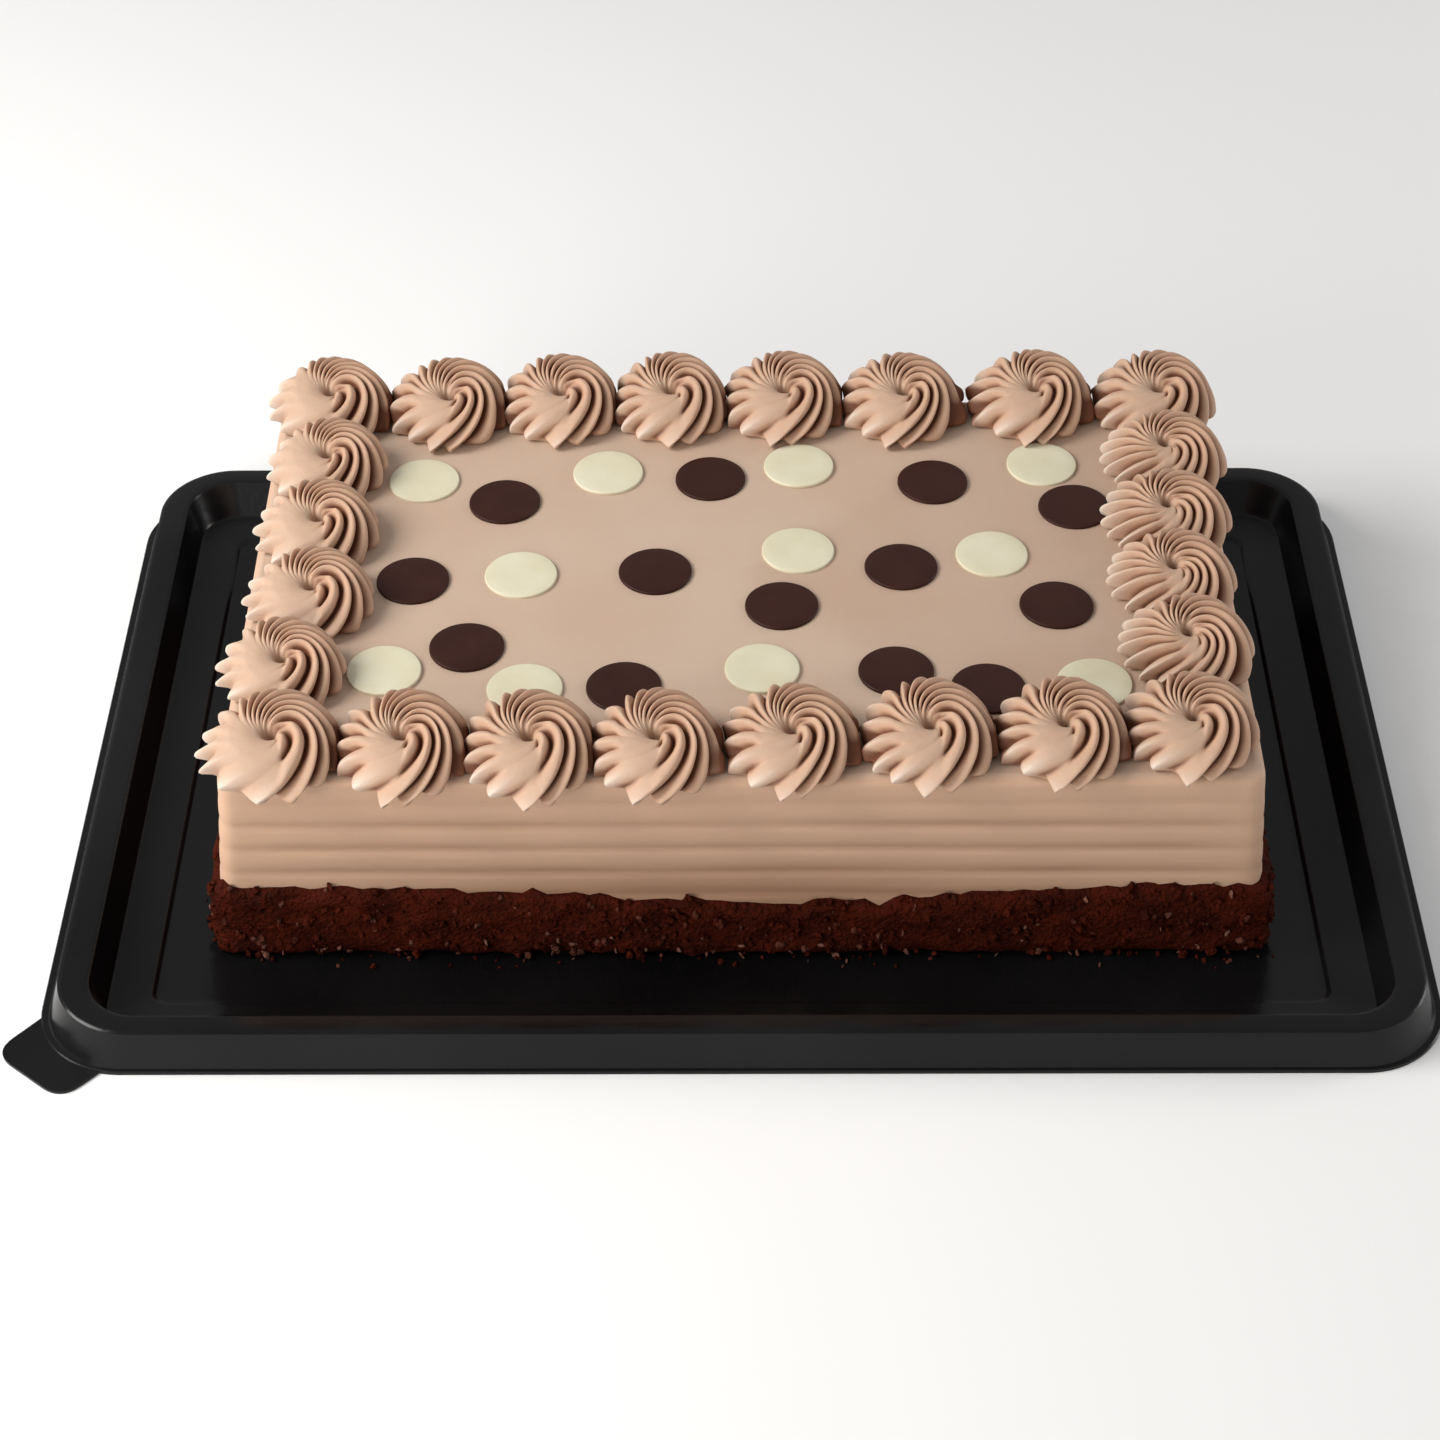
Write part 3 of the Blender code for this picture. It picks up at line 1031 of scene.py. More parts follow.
@dataclass
class CrumbBand:
    """Crumbs pressed round the foot: a lumpy ring, loose grains on it and strays at its foot.

    Sizes are in millimetres. rises says how much higher than height the band is at places across the
    cake, from -1 at the left to 1 at the right. Pairs of sizes are the smallest and the largest.
    shard_shares says how many grains are pale shards, below and above shards_below.
    """

    cake: IcedCake
    height: float = 17.4
    rises: tuple[Pair, ...] = (
        (-1.0, 5.8), (-0.63, 5.4), (-0.46, 4.1), (-0.28, 2.5), (0.08, 0.0), (0.25, 0.7), (0.46, 2.6),
        (0.64, 4.9), (0.82, 6.6), (1.0, 6.2),
    )
    thickness: float = 2.6
    around: int = 960
    section: int = 32
    grains: int = 2350
    grain_sizes: Pair = (0.35, 1.15)
    strays: int = 130
    stray_sizes: Pair = (0.3, 0.75)
    stray_spread: float = 2.2
    shard_shares: Pair = (0.20, 0.03)
    shards_below: float = 5.0
    panel_top: float = 1.1
    seed: int = 23
    smooth_below: float = 60.0
    grain_smooth_below: float = 50.0
    finish: Crumbs = field(default_factory=Crumbs)

    def _lean(self) -> float:
        """How much the icing's side spreads for each millimetre down."""
        return 0.5 * (self.cake.lean_x + self.cake.lean_y)

    def _foot(self) -> Foot:
        """The icing's outline at its base, with the band's ragged height along it.

        Returns:
            The foot.
        """
        base = self.cake.base_z
        dense = self.cake.side_outline(base, 10)
        closed = np.vstack([dense, dense[:1]])
        steps = np.hypot(*np.diff(closed, axis=0).T)
        length = np.concatenate([[0.0], np.cumsum(steps)])
        at = np.linspace(0.0, length[-1], self.around, endpoint=False)
        places = np.column_stack([np.interp(at, length, closed[:, k]) for k in (0, 1)])
        along = np.roll(places, -1, axis=0) - np.roll(places, 1, axis=0)
        out = np.column_stack([along[:, 1], -along[:, 0]])
        out /= np.linalg.norm(out, axis=1)[:, None]
        across = places[:, 0] / self.cake.halves(base)[0]
        tall = self.height + np.interp(across, *zip(*self.rises))
        level = np.column_stack([places, np.zeros(len(places))])
        tall = tall + 2.2 * bumps(level, 9.0, 2.0, 3) + 1.7 * bumps(level, 3.2, 8.0, 2)
        return Foot(places, out, tall)

    def _ring(self, foot: Foot) -> bpy.types.Object:
        """The lumpy ring, from a torus.

        Args:
            foot: the line that it follows.

        Returns:
            The ring.
        """
        Bench.clear()
        bpy.ops.mesh.primitive_torus_add(
            major_segments=self.around, minor_segments=self.section, major_radius=1.0, minor_radius=0.25
        )
        made = Bench.name("crumb_ring")
        torus = Bench.points(made)
        major = np.arctan2(torus[:, 1], torus[:, 0])
        column = np.round(major / (2 * math.pi) * self.around).astype(int) % self.around
        minor = np.arctan2(torus[:, 2], np.hypot(torus[:, 0], torus[:, 1]) - 1.0)
        out = foot.out[column]
        share = 0.5 * (np.sin(minor) + 1.0)
        width = np.clip(np.cos(minor), -1.0, 1.0)
        z = self.cake.base_z + share * foot.tall[column]
        bulge = self.thickness * np.sqrt(np.clip(1.0 - np.abs(np.sin(minor)) ** 6, 0.0, 1.0))
        outset = np.where(width > 0.0, bulge * np.clip(width * 3.0, 0.0, 1.0), -1.0)
        places = foot.places[column] + out * (outset - self._lean() * (z - self.cake.base_z))[:, None]
        spots = np.column_stack([places, z])
        lumps = 1.1 * bumps(spots, 6.0, 4.0, 3) + 1.2 * bumps(spots, 2.6, 6.0, 2)
        lumps = np.where(share < 0.3, np.maximum(lumps, 0.4 - outset), lumps)
        places = places + out * np.where(width > 0.1, lumps, 0.0)[:, None]
        Bench.move(made, np.column_stack([places, z]))
        Bench.paint(made, "tone", np.clip(0.35 + 0.3 * lumps, 0.0, 0.72))
        return made

    def _ball(self) -> tuple[np.ndarray, np.ndarray]:
        """The round grain of 80 faces that every grain is made from.

        Returns:
            Its points and its faces.
        """
        Bench.clear()
        bpy.ops.mesh.primitive_ico_sphere_add(subdivisions=2, radius=1.0, location=(0, 0, 0))
        made = Bench.name("grain")
        points = Bench.points(made)
        faces = np.array([list(face.vertices) for face in made.data.polygons])
        bpy.data.objects.remove(made)
        return points, faces

    def _spot(self, foot: Foot, stray: bool, rng: np.random.Generator) -> tuple[np.ndarray, float, float]:
        """Where a grain lies.

        Args:
            foot: the line round the cake's foot.
            stray: whether it lies on the tray beside the band.
            rng: the source of chance.

        Returns:
            Its centre, its size and how far up the band it is.
        """
        i = rng.integers(len(foot.places))
        size = rng.uniform(*(self.stray_sizes if stray else self.grain_sizes))
        share = rng.uniform(0.0, 1.02) ** 0.9
        rise = share * foot.tall[i]
        outset = self.thickness * (1.0 - 0.45 * share**6) + rng.uniform(-0.5, 0.6)
        z = self.cake.base_z + max(rise, 0.6 * size)
        if stray:
            outset = self.thickness + abs(rng.normal(0.0, self.stray_spread)) + 0.6
            z = self.panel_top + 0.55 * size
            rise = 0.0
        place = foot.places[i] + foot.out[i] * (outset - self._lean() * rise)
        return np.array([*place, z]), size, rise

    def _rough(self, ball: np.ndarray, rise: float, rng: np.random.Generator) -> tuple[np.ndarray, bool]:
        """Roughens, stretches and turns a round grain.

        Args:
            ball: the round grain's points.
            rise: how far up the band it lies.
            rng: the source of chance.

        Returns:
            Its points, and whether it is a pale shard.
        """
        stretch = rng.uniform(0.6, 1.4, 3)
        shard = rng.random() < self.shard_shares[1 if rise > self.shards_below else 0]
        if shard:
            stretch = np.array([0.4, 0.7, 1.3])
        angle = rng.uniform(0.0, FULL_TURN)
        turn = np.array(Matrix.Rotation(angle, 3, Vector(rng.normal(size=3)).normalized()))
        rough = 1.0 + 0.22 * rng.normal(size=len(ball)).clip(-1.5, 1.5)
        return (ball * rough[:, None] * stretch) @ turn.T, shard

    def _scatter(self, foot: Foot) -> bpy.types.Object:
        """Loose grains on the ring and on the tray beside it, joined in one mesh.

        Args:
            foot: the line round the cake's foot.

        Returns:
            The joined grains.
        """
        rng = np.random.default_rng(self.seed)
        ball, faces = self._ball()
        all_points = []
        all_faces = []
        tones = []
        for index in range(self.grains + self.strays):
            centre, size, rise = self._spot(foot, index >= self.grains, rng)
            points, shard = self._rough(ball, rise, rng)
            grain = points * size + centre
            grain[:, 2] = np.maximum(grain[:, 2], self.panel_top + 0.02)
            all_points.append(grain)
            all_faces.append(faces + len(ball) * index)
            tones.append(np.full(len(ball), 0.95 if shard else rng.uniform(0.0, 0.82)))
        mesh = bpy.data.meshes.new("loose_crumbs")
        mesh.from_pydata((np.concatenate(all_points) * MM).tolist(), [], np.concatenate(all_faces).tolist())
        made = bpy.data.objects.new("loose_crumbs", mesh)
        bpy.context.scene.collection.objects.link(made)
        Bench.paint(made, "tone", np.concatenate(tones))
        return made

    def build(self) -> None:
        """Makes the ring and its grains and dresses them."""
        finish = self.finish.material()
        foot = self._foot()
        ring = self._ring(foot)
        Bench.outward(ring, self.smooth_below)
        Bench.enter(ring, finish, "crumbs", ["crumb_band"])
        loose = self._scatter(foot)
        Bench.outward(loose, self.grain_smooth_below)
        Bench.enter(loose, finish, "crumbs", [])


# Piping
@dataclass(frozen=True)
class Arm:
    """One arm of a rosette.

    It ends and starts at two angles; its tip reaches out by a share of the radius; the grooves beside it
    open at some share of the radius; the larger its curl, the nearer to the eye it turns.
    """

    end: float
    start: float
    tip: float
    opens: float
    curl: float


@dataclass(frozen=True)
class Swirl:
    """A kind of rosette: its arms, how flat its left side is, its size and where its eye lies."""

    arms: tuple[Arm, ...]
    flat: float
    radius: float
    height: float
    eye: Pair


ROW_ARMS = (
    Arm(-80.0, 120.0, 0.03, 0.0, 1.25),
    Arm(-46.0, 142.0, 0.0, 0.0, 1.3),
    Arm(-10.0, 162.0, 0.0, 0.0, 1.4),
    Arm(26.0, 180.0, 0.01, 0.03, 1.5),
    Arm(56.0, 196.0, 0.03, 0.05, 1.6),
    Arm(82.0, 208.0, 0.05, 0.07, 1.8),
    Arm(104.0, 220.0, 0.06, 0.10, 1.9),
    Arm(125.0, 233.0, 0.08, 0.16, 1.9),
    Arm(146.0, 247.0, 0.10, 0.25, 1.9),
    Arm(167.0, 264.0, 0.11, 0.42, 1.9),
    Arm(189.0, 292.0, 0.10, 0.55, 1.8),
    Arm(211.0, 330.0, 0.06, 0.66, 1.7),
    Arm(233.0, 375.0, 0.04, 0.82, 1.5),
    Arm(261.0, 430.0, 0.10, 0.74, 1.35),
)
SMOOTH_ARMS = (
    Arm(-80.0, 120.0, 0.04, 0.0, 1.25),
    Arm(-48.0, 140.0, 0.0, 0.0, 1.3),
    Arm(-16.0, 158.0, 0.0, 0.0, 1.35),
    Arm(16.0, 172.0, 0.0, 0.0, 1.45),
    Arm(44.0, 184.0, 0.01, 0.04, 1.5),
    Arm(70.0, 195.0, 0.02, 0.06, 1.6),
    Arm(94.0, 207.0, 0.04, 0.12, 1.7),
    Arm(116.0, 220.0, 0.07, 0.30, 1.8),
    Arm(137.0, 236.0, 0.10, 0.58, 1.8),
    Arm(156.0, 255.0, 0.12, 0.78, 1.8),
    Arm(175.0, 282.0, 0.13, 0.84, 1.8),
    Arm(196.0, 320.0, 0.11, 0.86, 1.7),
    Arm(222.0, 368.0, 0.06, 0.86, 1.5),
    Arm(254.0, 425.0, 0.06, 0.80, 1.35),
)
FEATHER_ARMS = (
    Arm(-80.0, 110.0, 0.03, 0.0, 1.25),
    Arm(-40.0, 140.0, 0.0, 0.0, 1.3),
    Arm(-2.0, 162.0, 0.0, 0.0, 1.4),
    Arm(38.0, 182.0, 0.01, 0.03, 1.5),
    Arm(72.0, 200.0, 0.04, 0.06, 1.7),
    Arm(98.0, 214.0, 0.09, 0.08, 1.8),
    Arm(117.0, 224.0, 0.13, 0.10, 1.9),
    Arm(134.0, 234.0, 0.16, 0.12, 1.9),
    Arm(150.0, 245.0, 0.17, 0.14, 1.9),
    Arm(165.0, 257.0, 0.17, 0.18, 1.8),
    Arm(180.0, 271.0, 0.16, 0.22, 1.8),
    Arm(196.0, 290.0, 0.13, 0.30, 1.7),
    Arm(213.0, 320.0, 0.10, 0.42, 1.6),
    Arm(230.0, 355.0, 0.06, 0.55, 1.5),
    Arm(246.0, 393.0, 0.03, 0.6, 1.45),
    Arm(262.0, 430.0, 0.04, 0.6, 1.35),
)
# Along an arm, from the eye to the foot: share of the way, of the radius and of the height.
ARM_PROFILE = (
    (0.0, 0.0, 0.20),
    (0.04, 0.045, 0.28),
    (0.075, 0.09, 0.66),
    (0.12, 0.14, 0.86),
    (0.21, 0.25, 0.96),
    (0.32, 0.40, 1.0),
    (0.48, 0.60, 0.95),
    (0.60, 0.76, 0.80),
    (0.70, 0.89, 0.58),
    (0.78, 0.97, 0.36),
    (0.84, 0.985, 0.22),
    (0.89, 0.94, 0.09),
    (0.94, 0.86, 0.0),
    (1.0, 0.0, 0.0),
)
# The share of the way at which an arm has swept as far as it goes.
SWEPT_AT = 0.84


class Spot(Enum):
    """Where on the cake a rosette is piped, which decides its swirl."""

    FRONT = Swirl(ROW_ARMS, 0.4, 17.4, 11.6, (-0.6, -2.0))
    FRONT_LEFT = Swirl(SMOOTH_ARMS, 0.8, 17.4, 11.6, (-0.6, -2.0))
    RIGHT = Swirl(FEATHER_ARMS, 0.25, 16.4, 11.3, (-2.4, 0.6))
    BACK = Swirl(ROW_ARMS, 0.5, 17.4, 13.0, (0.0, -4.5))
    BACK_LEFT = Swirl(SMOOTH_ARMS, 0.8, 17.4, 13.0, (-0.6, -2.0))
    LEFT = Swirl(SMOOTH_ARMS, 0.8, 16.4, 11.3, (0.0, -2.0))


@dataclass(frozen=True)
class Chance:
    """What differs by chance from one rosette to the next."""

    phase: float
    tips: float
    turn: float
    oval: float
    trefoil: float
    size: float
    tall: float

    @classmethod
    def drawn(cls, seed: int) -> "Chance":
        """Draws one rosette's lot.

        Args:
            seed: the rosette's own number.

        Returns:
            The lot.
        """
        rng = np.random.default_rng(seed)
        return cls(
            phase=rng.uniform(0.0, FULL_TURN),
            tips=rng.uniform(0.85, 1.15),
            turn=rng.uniform(-8.0, 8.0),
            oval=rng.uniform(0.0, FULL_TURN),
            trefoil=rng.uniform(0.0, FULL_TURN),
            size=rng.uniform(0.985, 1.015),
            tall=rng.uniform(0.96, 1.04),
        )


@dataclass(frozen=True)
class Sweep:
    """How a rosette's points lie along its arms.

    way runs from the eye to the foot and arm counts arms round the rosette; rho and rise are shares of
    the radius and of the height; run and drop are the profile's slope, of length slope; pitch is the
    arms' width in millimetres; angle is in degrees round the eye, and turned is the same from -90.
    """

    way: np.ndarray
    arm: np.ndarray
    rho: np.ndarray
    rise: np.ndarray
    run: np.ndarray
    drop: np.ndarray
    slope: np.ndarray
    pitch: np.ndarray
    angle: np.ndarray
    turned: np.ndarray


@dataclass(frozen=True)
class Ridges:
    """The ridges at a rosette's points.

    relief is how far they stand out, in millimetres; dark is the painted shade, in the grooves, the eye
    and over the right side; outer and sharp grow towards the arms' tips and crests; left and low are
    weights of the flat left side and of the bottom; under fades everything out below.
    """

    relief: np.ndarray
    dark: np.ndarray
    outer: np.ndarray
    sharp: np.ndarray
    left: np.ndarray
    low: np.ndarray
    under: np.ndarray


@dataclass
class Rosette:
    """One rosette from a star tip, its arms sweeping clockwise from the eye to the outline.

    Each wall is a face shared with the next rosette: the direction to it, across and along, and its
    distance from the centre. droop is how far the rim hangs over the cake's edge, and slant is how
    much higher the far side stands than the near one.
    """

    name: str
    centre: Pair
    walls: list[Triple]
    chance: Chance
    cake: IcedCake
    spot: Spot
    columns: int = 256
    rings: int = 44
    droop: float = 1.2
    slant: float = 0.32
    deepest: float = 3.5
    web_width: float = 3.0

    def _arm_curve(self, at: np.ndarray, name: str, lap: float) -> np.ndarray:
        """One of the arms' numbers, read smoothly between arms.

        Args:
            at: places counted in arms.
            name: the number's field.
            lap: how much it grows in a full turn.

        Returns:
            The number at each place.
        """
        one = np.array([getattr(arm, name) for arm in self.spot.value.arms])
        values = np.concatenate([one - lap, one, one + lap])
        return smooth_curve(np.arange(len(values)) - float(len(one)), values, at)

    def _apart(self, arm: np.ndarray, name: str) -> np.ndarray:
        """The angle between neighbouring arms.

        Args:
            arm: places counted in arms.
            name: "start" at the eye or "end" at the outline.

        Returns:
            The angle in radians.
        """
        return np.radians(self._arm_curve(arm + 0.5, name, 360.0) - self._arm_curve(arm - 0.5, name, 360.0))

    def _squeeze(self, x: np.ndarray, y: np.ndarray) -> tuple[np.ndarray, np.ndarray]:
        """Presses the points back, ever harder, near the faces shared with the next rosettes.

        Args:
            x: across, from the centre.
            y: along, from the centre.

        Returns:
            The pressed places, across and along.
        """
        reach = 1.5
        for normal_x, normal_y, distance in self.walls:
            out = np.maximum(x * normal_x + y * normal_y - (distance - reach), 0.0)
            back = out - reach * (1.0 - np.exp(-out / reach))
            x = x - back * normal_x
            y = y - back * normal_y
        return x, y

    def _sweep(self, ball: np.ndarray) -> Sweep:
        """Lays a sphere's points along the arms.

        Args:
            ball: points of a sphere with its pole at the eye.

        Returns:
            Their places along the arms.
        """
        swirl = self.spot.value
        way = np.arccos(np.clip(ball[:, 2], -1.0, 1.0)) / math.pi
        arm = (np.arctan2(ball[:, 1], ball[:, 0]) / (2 * math.pi) % 1.0) * len(swirl.arms)
        start = self._arm_curve(arm, "start", 360.0)
        end = self._arm_curve(arm, "end", 360.0)
        curl = self._arm_curve(arm, "curl", 0.0)
        knots, spans, rises = (np.array(row) for row in zip(*ARM_PROFILE))
        rho = smooth_curve(knots, spans, way)
        rise = smooth_curve(knots, rises, way)
        ahead = np.clip(way + 0.004, 0.0, 1.0)
        behind = np.clip(way - 0.004, 0.0, 1.0)
        run = swirl.radius * (smooth_curve(knots, spans, ahead) - smooth_curve(knots, spans, behind))
        drop = swirl.height * (smooth_curve(knots, rises, behind) - smooth_curve(knots, rises, ahead))
        slope = np.maximum(np.hypot(run, drop), 1e-9)
        share = np.clip(way / SWEPT_AT, 0.0, 1.0)
        swept = 1.0 - (1.0 - share) ** curl
        angle = start + (end - start) * swept
        apart = self._apart(arm, "start") * (1.0 - swept) + swept * self._apart(arm, "end")
        lean = rho * np.radians(end - start) * curl * (1.0 - share) ** (curl - 1.0) / 1.1
        pitch = rho * swirl.radius * apart / np.sqrt(1.0 + lean**2)
        turned = (angle + 90.0) % 360.0 - 90.0
        return Sweep(way, arm, rho, rise, run, drop, slope, pitch, angle, turned)

    def _ridges(self, sweep: Sweep) -> Ridges:
        """Works the ridges out: deep grooves at the right and the top, faint ones at the left.

        Args:
            sweep: the points along the arms.

        Returns:
            The ridges there.
        """
        rho, turned, pitch = sweep.rho, sweep.turned, sweep.pitch
        laps = 3.0 / len(self.spot.value.arms)
        wobble = 0.10 * np.sin(2 * math.pi * sweep.arm * laps + self.chance.phase)
        fan = math.pi * (sweep.arm + wobble)
        coarse = ramp(rho, 0.12, 0.22)
        ridge = coarse * np.abs(np.cos(fan)) ** 0.9 + (1.0 - coarse) * np.abs(np.cos(0.5 * fan)) ** 0.9
        under = np.clip((0.95 - sweep.way) / 0.08, 0.0, 1.0)
        right = window(turned, -75.0, 125.0, 30.0)
        left = window(turned, 140.0, 262.0, 40.0)
        low = window(turned, -90.0, -50.0, 30.0) + window(turned, 250.0, 290.0, 30.0)
        opens = self._arm_curve(sweep.arm, "opens", 0.0) * (1.0 - right)
        deep = 0.08 + 0.92 * np.clip((rho - opens) / 0.24, 0.0, 1.0)
        slit = np.maximum(1.0 - np.abs(np.cos(fan)) * 1.6, 0.0) * right * ramp(rho, 0.12, 0.2)
        depth = np.minimum(self.deepest, 1.15 * pitch * ramp(pitch, 0.0, 1.3)) * deep * under
        inner = np.clip((0.85 - rho) / 0.3, 0.0, 1.0)
        depth = depth * (1.0 - left * self.spot.value.flat) * (1.0 - 0.4 * low * inner)
        relief = depth * (ridge - 0.66) - 0.7 * slit * under * ramp(pitch, 0.0, 3.0)
        # painted shade in the grooves and slits, and in the pit at the eye
        dark = (1.0 - ridge) * ramp(depth, 0.0, 1.4) + 0.6 * slit + np.clip(1.8 - rho / 0.045, 0.0, 1.0)
        # painted shade over the right side, away from the key light
        dark = dark + 0.18 * right * ramp(rho, 0.1, 0.2)
        outer = ramp(rho, 0.55, 0.43) ** 2.2 * under
        sharp = (1.0 - np.abs((sweep.arm + wobble + 0.5) % 1.0 - 0.5) * 2.0) ** 1.3
        return Ridges(relief, dark, outer, sharp, left, low, under)

    def _web(self, here: np.ndarray) -> np.ndarray:
        """Where low webs of icing fill the nooks beside the next rosettes.

        Args:
            here: angles round the eye, in radians.

        Returns:
            Weights from 0 to 1.
        """
        web = np.zeros_like(here)
        for normal_x, normal_y, _ in self.walls:
            facing = np.cos(here) * normal_x + np.sin(here) * normal_y
            web = np.maximum(web, ramp(facing, 0.76, 0.22))
        return web * web * (3.0 - 2.0 * web)

    def _places(self, sweep: Sweep, ridges: Ridges) -> tuple[np.ndarray, np.ndarray]:
        """Sets the points on the cake.

        Args:
            sweep: the points along the arms.
            ridges: the ridges there.

        Returns:
            The places, and the weights of the painted shadow in the nooks.
        """
        swirl, chance = self.spot.value, self.chance
        rho, rise = sweep.rho, sweep.rise
        tip = self._arm_curve(sweep.arm, "tip", 0.0)
        stretch = 1.0 + ridges.outer * tip * (2.3 * ridges.sharp - 0.75) * chance.tips
        here = np.radians(sweep.angle)
        stretch += 0.016 * np.sin(2 * here + chance.oval) + 0.012 * np.sin(3 * here + chance.trefoil)
        here = here + math.radians(chance.turn)
        web = self._web(here)
        # painted shadow: the low nooks beside the next rosettes
        nook_shade = web * np.clip((0.2 + 0.4 * web - rise) / 0.25, 0.0, 1.0)
        reach = rho * (swirl.radius * chance.size) * stretch + ridges.relief * sweep.drop / sweep.slope
        skirt = np.clip((0.12 + 0.3 * web - rise) / 0.2, 0.0, 1.0)
        reach = reach + self.web_width * web * skirt * ridges.under
        free_x = reach * np.cos(here)
        free_y = reach * np.sin(here)
        x, y = self._squeeze(free_x, free_y)
        over = 0.55 * ramp(ridges.outer * (tip - 0.05), 0.0, 0.08) * ramp(rise, 0.2, 0.2)
        x = x + over * (free_x - x) + self.centre[0] + swirl.eye[0] * (1.0 - rho) ** 2
        y = y + over * (free_y - y) + self.centre[1] + swirl.eye[1] * (1.0 - rho) ** 2
        past_x = np.abs(x) - self.cake.half_x
        past_y = np.abs(y - self.cake.centre_y) - self.cake.half_y
        past = np.maximum(np.maximum(past_x, past_y), 0.0)
        hang = self.droop * ramp(past, 0.0, 8.0) * ramp(rise, 0.0, 0.12)
        low = self.cake.top_z - 0.15
        rise = rise * (1.0 + self.slant * rho * np.sin(here))
        z = low + swirl.height * chance.tall * rise + ridges.relief * sweep.run / sweep.slope - hang
        z = np.where(past > 0.0, z, np.maximum(z, low))
        return np.column_stack([x, y, z]), nook_shade

    def build(self, finish: bpy.types.Material) -> None:
        """Makes the rosette from a sphere and dresses it.

        Args:
            finish: the piping's material.
        """
        Bench.clear()
        bpy.ops.mesh.primitive_uv_sphere_add(segments=self.columns, ring_count=self.rings, radius=1.0)
        made = Bench.name(f"piped_{self.name}")
        sweep = self._sweep(Bench.points(made))
        ridges = self._ridges(sweep)
        places, nook_shade = self._places(sweep, ridges)
        Bench.move(made, places)
        # painted shade: grooves, eye and right side, a little less at the bottom, most in the nooks
        dark = ridges.dark * (1.0 - 0.3 * ridges.low) + 1.1 * nook_shade
        # painted highlight: the left-hand tips, less in the nooks
        pale = np.clip(ridges.left * (ridges.outer * ridges.sharp) ** 1.5, 0.0, 1.0)
        # stores the painted light: 1 on lit crests, 0 in full shade
        Bench.paint(made, "lit_crest", np.clip(1.0 - dark, 0.0, 1.0))
        Bench.paint(made, "tip", pale * (1.0 - nook_shade))
        bpy.ops.object.shade_smooth()
        Bench.enter(made, finish, "piping", [self.name])


@dataclass
class Piping:
    """The closed ring of rosettes round the top edge, their centres in millimetres."""

    cake: IcedCake
    front: tuple[Pair, ...] = (
        (-124.4, -69.7), (-89.7, -69.8), (-55.9, -70.5), (-22.3, -70.0),
        (13.9, -67.4), (50.8, -66.2), (86.6, -65.2), (121.0, -62.6),
    )
    right: tuple[Pair, ...] = ((125.0, -29.1), (124.0, 0.5), (125.3, 30.0), (127.4, 58.7))
    back: tuple[Pair, ...] = (
        (126.2, 88.6), (89.0, 88.6), (49.3, 87.2), (13.5, 88.3),
        (-20.7, 88.0), (-53.9, 87.6), (-87.6, 85.6), (-123.0, 86.6),
    )
    left: tuple[Pair, ...] = ((-121.6, 55.8), (-121.4, 25.1), (-120.4, -6.1), (-125.3, -37.5))
    gap: float = 0.02
    first_seed: int = 40
    finish: PipedIcing = field(default_factory=PipedIcing)

    def _spots(self) -> list[Spot]:
        """Chooses the kind of every rosette.

        Returns:
            The kinds, in the order of the ring.
        """
        front = [Spot.FRONT_LEFT] + [Spot.FRONT] * (len(self.front) - 1)
        back = [Spot.BACK] * (len(self.back) - 1) + [Spot.BACK_LEFT]
        return front + [Spot.RIGHT] * len(self.right) + back + [Spot.LEFT] * len(self.left)

    def _wall(self, centre: Pair, other: Pair) -> Triple:
        """The face that two neighbours share.

        Args:
            centre: a rosette's centre.
            other: its neighbour's centre.

        Returns:
            The direction to the neighbour, across and along, and the distance to the face.
        """
        away = np.array(other) - np.array(centre)
        apart = float(np.hypot(*away))
        return away[0] / apart, away[1] / apart, 0.5 * apart - self.gap

    def build(self) -> None:
        """Pipes every rosette, each pressed against the two beside it."""
        finish = self.finish.material()
        centres = self.front + self.right + self.back + self.left
        for index, (centre, spot) in enumerate(zip(centres, self._spots())):
            beside = (centres[index - 1], centres[(index + 1) % len(centres)])
            walls = [self._wall(centre, other) for other in beside]
            chance = Chance.drawn(self.first_seed + index)
            Rosette(f"rosette_{index + 1:02d}", centre, walls, chance, self.cake, spot).build(finish)


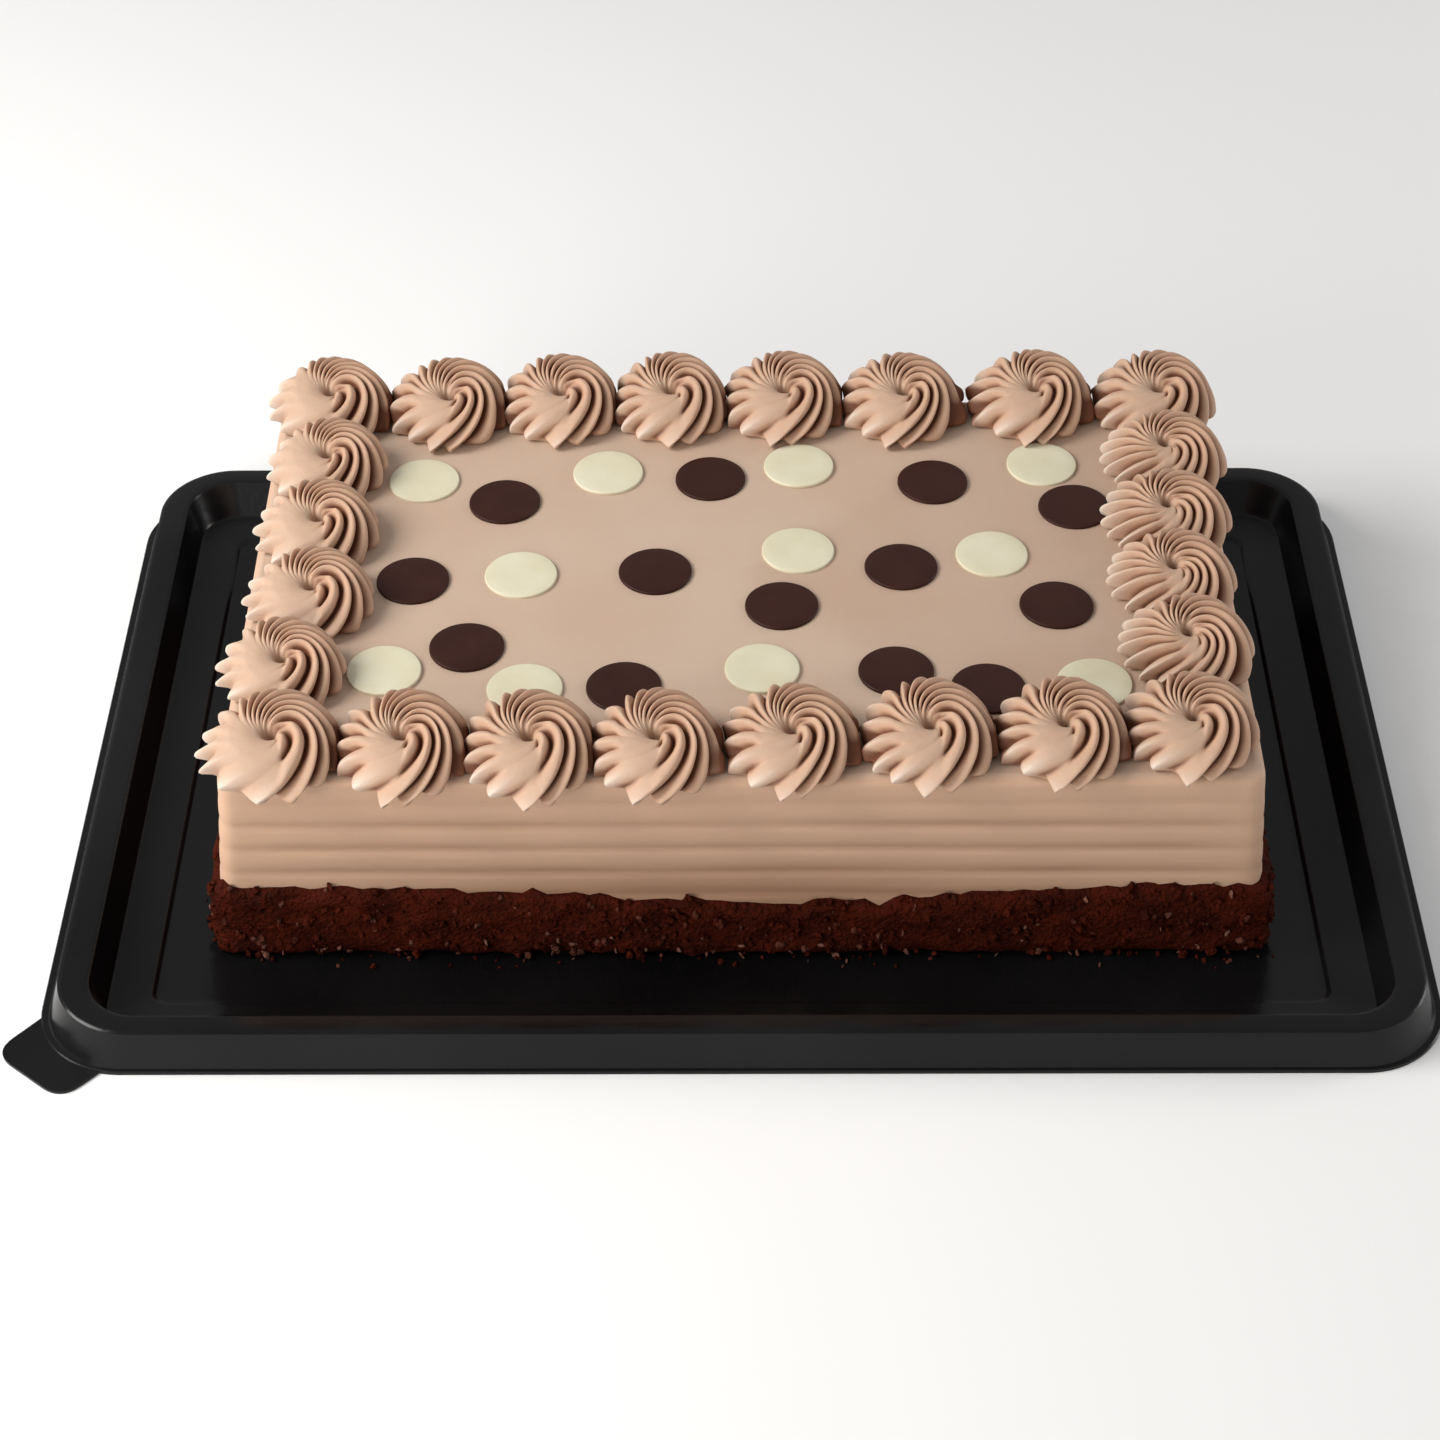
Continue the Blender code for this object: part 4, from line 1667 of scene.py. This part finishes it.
# Discs
@dataclass
class Discs:
    """Thin moulded chocolate discs lying on the icing, their sizes and centres in millimetres."""

    cake: IcedCake
    radius: float = 10.4
    thickness: float = 1.1
    bevel: float = 0.32
    sides: int = 72
    sunk: float = 0.2
    tilt: float = 0.004
    seed: int = 9
    smooth_below: float = 40.0
    dark: tuple[Pair, ...] = (
        (-8.7, 53.8), (57.0, 51.9), (-69.0, 42.7), (97.8, 39.6), (46.1, 11.4), (-24.2, 9.5), (-93.2, 5.5),
        (11.7, -6.2), (89.2, -6.2), (-76.0, -24.3), (42.9, -35.0), (-31.9, -41.5), (67.8, -42.6),
    )
    white: tuple[Pair, ...] = (
        (17.6, 60.1), (89.8, 60.5), (-39.0, 56.9), (-93.4, 53.0), (16.7, 19.0), (72.4, 17.1),
        (-62.5, 8.0), (6.0, -33.8), (-98.2, -34.4), (-59.0, -42.2), (97.0, -40.5),
    )

    def _blank(self, name: str) -> bpy.types.Object:
        """A short cylinder with soft edges, its face inset once.

        Args:
            name: the piece's name.

        Returns:
            The cylinder, at the origin.
        """
        Bench.clear()
        bpy.ops.mesh.primitive_cylinder_add(
            vertices=self.sides, radius=self.radius * MM, depth=self.thickness * MM, end_fill_type="NGON"
        )
        made = Bench.name(name)
        Bench.apply(made, "BEVEL", {"width": self.bevel * MM, "segments": 3, "limit_method": "ANGLE"})
        bpy.ops.object.mode_set(mode="EDIT")
        bpy.ops.mesh.select_all(action="DESELECT")
        bpy.ops.object.mode_set(mode="OBJECT")
        for face in made.data.polygons:
            face.select = face.normal.z > 0.9 and len(face.vertices) > 8
        bpy.ops.object.mode_set(mode="EDIT")
        bpy.ops.mesh.inset(thickness=3.0 * MM)
        bpy.ops.object.mode_set(mode="OBJECT")
        return made

    def _disc(self, name: str, place: Pair, rng: np.random.Generator) -> bpy.types.Object:
        """One disc, with a slightly uneven outline, at its place on the icing.

        Args:
            name: the piece's name.
            place: its centre on the icing.
            rng: the source of its unevenness.

        Returns:
            The disc.
        """
        made = self._blank(name)
        local = Bench.points(made) / MM
        angle = np.arctan2(local[:, 1], local[:, 0])
        wave = 1.0 + 0.006 * np.sin(2 * angle + rng.uniform(0.0, FULL_TURN))
        wave = wave + 0.004 * np.sin(3 * angle + rng.uniform(0.0, FULL_TURN))
        x = local[:, 0] * wave
        y = local[:, 1] * wave
        tilt = rng.uniform(-self.tilt, self.tilt, 2)
        middle = self.cake.top_z - self.sunk + 0.5 * self.thickness
        z = middle + local[:, 2] + tilt[0] * x + tilt[1] * y
        Bench.move(made, np.column_stack([x + place[0], y + place[1], z]))
        bpy.ops.object.shade_smooth_by_angle(angle=math.radians(self.smooth_below))
        return made

    def build(self) -> None:
        """Lays every disc and dresses it."""
        rng = np.random.default_rng(self.seed)
        for kind, places in ((Chocolate.DARK, self.dark), (Chocolate.WHITE, self.white)):
            finish = MouldedChocolate(kind).material()
            for index, place in enumerate(places):
                node = f"{kind.value.stem}_{index + 1:02d}"
                made = self._disc(f"moulded_{node}", place, rng)
                Bench.enter(made, finish, kind.value.slot, [node])


# Studio
@dataclass(frozen=True)
class Lamp:
    """A soft round light: its name, place and target in metres, width, power and tint."""

    name: str
    place: Triple
    target: Triple
    size: float
    watts: float
    tint: Colour

    def hang(self) -> None:
        """Adds the light to the scene."""
        light = bpy.data.lights.new(self.name, "AREA")
        light.shape = "DISK"
        light.size = self.size
        light.energy = self.watts
        light.color = self.tint
        lamp = bpy.data.objects.new(self.name, light)
        lamp.location = self.place
        aim = Vector(self.target) - Vector(self.place)
        lamp.rotation_euler = aim.to_track_quat("-Z", "Y").to_euler()
        bpy.context.scene.collection.objects.link(lamp)


@dataclass
class Studio:
    """Pale floor, soft lights and the camera of the photograph's view, its place in millimetres."""

    camera_place: Triple = (-0.976, -709.343, 627.881)
    pitch: float = 40.859
    yaw: float = -0.401
    roll: float = -0.389
    lens: float = 79.936
    sensor: float = 36.0
    sky_strength: float = 0.38
    floor_width: float = 8.0
    lamps: tuple[Lamp, ...] = (
        Lamp("key", (-0.85, -0.10, 0.75), (-0.02, 0.0, 0.04), 0.6, 11.3, (1.0, 0.985, 0.96)),
        Lamp("front fill", (-0.85, -1.10, 0.50), (-0.08, 0.0, 0.03), 0.7, 9.5, (1.0, 0.965, 0.92)),
        Lamp("right rim", (1.15, 0.30, 0.45), (0.0, 0.0, 0.05), 0.5, 4.0, (1.0, 0.985, 0.97)),
    )

    def _sky(self) -> None:
        """Lights the scene evenly from all round."""
        world = bpy.data.worlds.new("studio")
        bpy.context.scene.world = world
        world.use_nodes = True
        sky = world.node_tree.nodes["Background"]
        sky.inputs["Color"].default_value = (1.0, 1.0, 1.0, 1.0)
        sky.inputs["Strength"].default_value = self.sky_strength

    def _floor(self) -> None:
        """Lays the floor."""
        Bench.clear()
        bpy.ops.mesh.primitive_plane_add(size=self.floor_width, location=(0, 0, 0))
        floor = Bench.name("studio_floor")
        floor.data.materials.append(PaleFloor().material())

    def _camera(self) -> None:
        """Sets the camera up from its measured angles."""
        pitch, yaw, roll = (math.radians(angle) for angle in (self.pitch, self.yaw, self.roll))
        ahead = Vector((math.sin(yaw) * math.cos(pitch), math.cos(yaw) * math.cos(pitch), -math.sin(pitch)))
        level = Vector((math.cos(yaw), -math.sin(yaw), 0.0))
        upright = level.cross(ahead)
        right = level * math.cos(roll) + upright * math.sin(roll)
        up = upright * math.cos(roll) - level * math.sin(roll)
        view = bpy.data.cameras.new("photo_camera")
        view.lens = self.lens
        view.sensor_width = self.sensor
        view.clip_end = 50.0
        camera = bpy.data.objects.new("photo_camera", view)
        turn = Matrix((right, up, -ahead)).transposed().to_4x4()
        camera.matrix_world = Matrix.Translation(Vector(self.camera_place) * MM) @ turn
        bpy.context.scene.collection.objects.link(camera)
        bpy.context.scene.camera = camera

    def build(self) -> None:
        """Sets the whole studio up."""
        bpy.context.scene.view_settings.view_transform = "Standard"
        self._sky()
        self._floor()
        for lamp in self.lamps:
            lamp.hang()
        self._camera()


def main() -> None:
    """Builds every sub-assembly in order."""
    logging.basicConfig(level=logging.INFO, format="%(name)s %(message)s")
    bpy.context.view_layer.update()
    cake = IcedCake()
    Tray().build()
    cake.build()
    CrumbBand(cake).build()
    Discs(cake).build()
    Piping(cake).build()
    Studio().build()


if __name__ == "__main__":
    main()
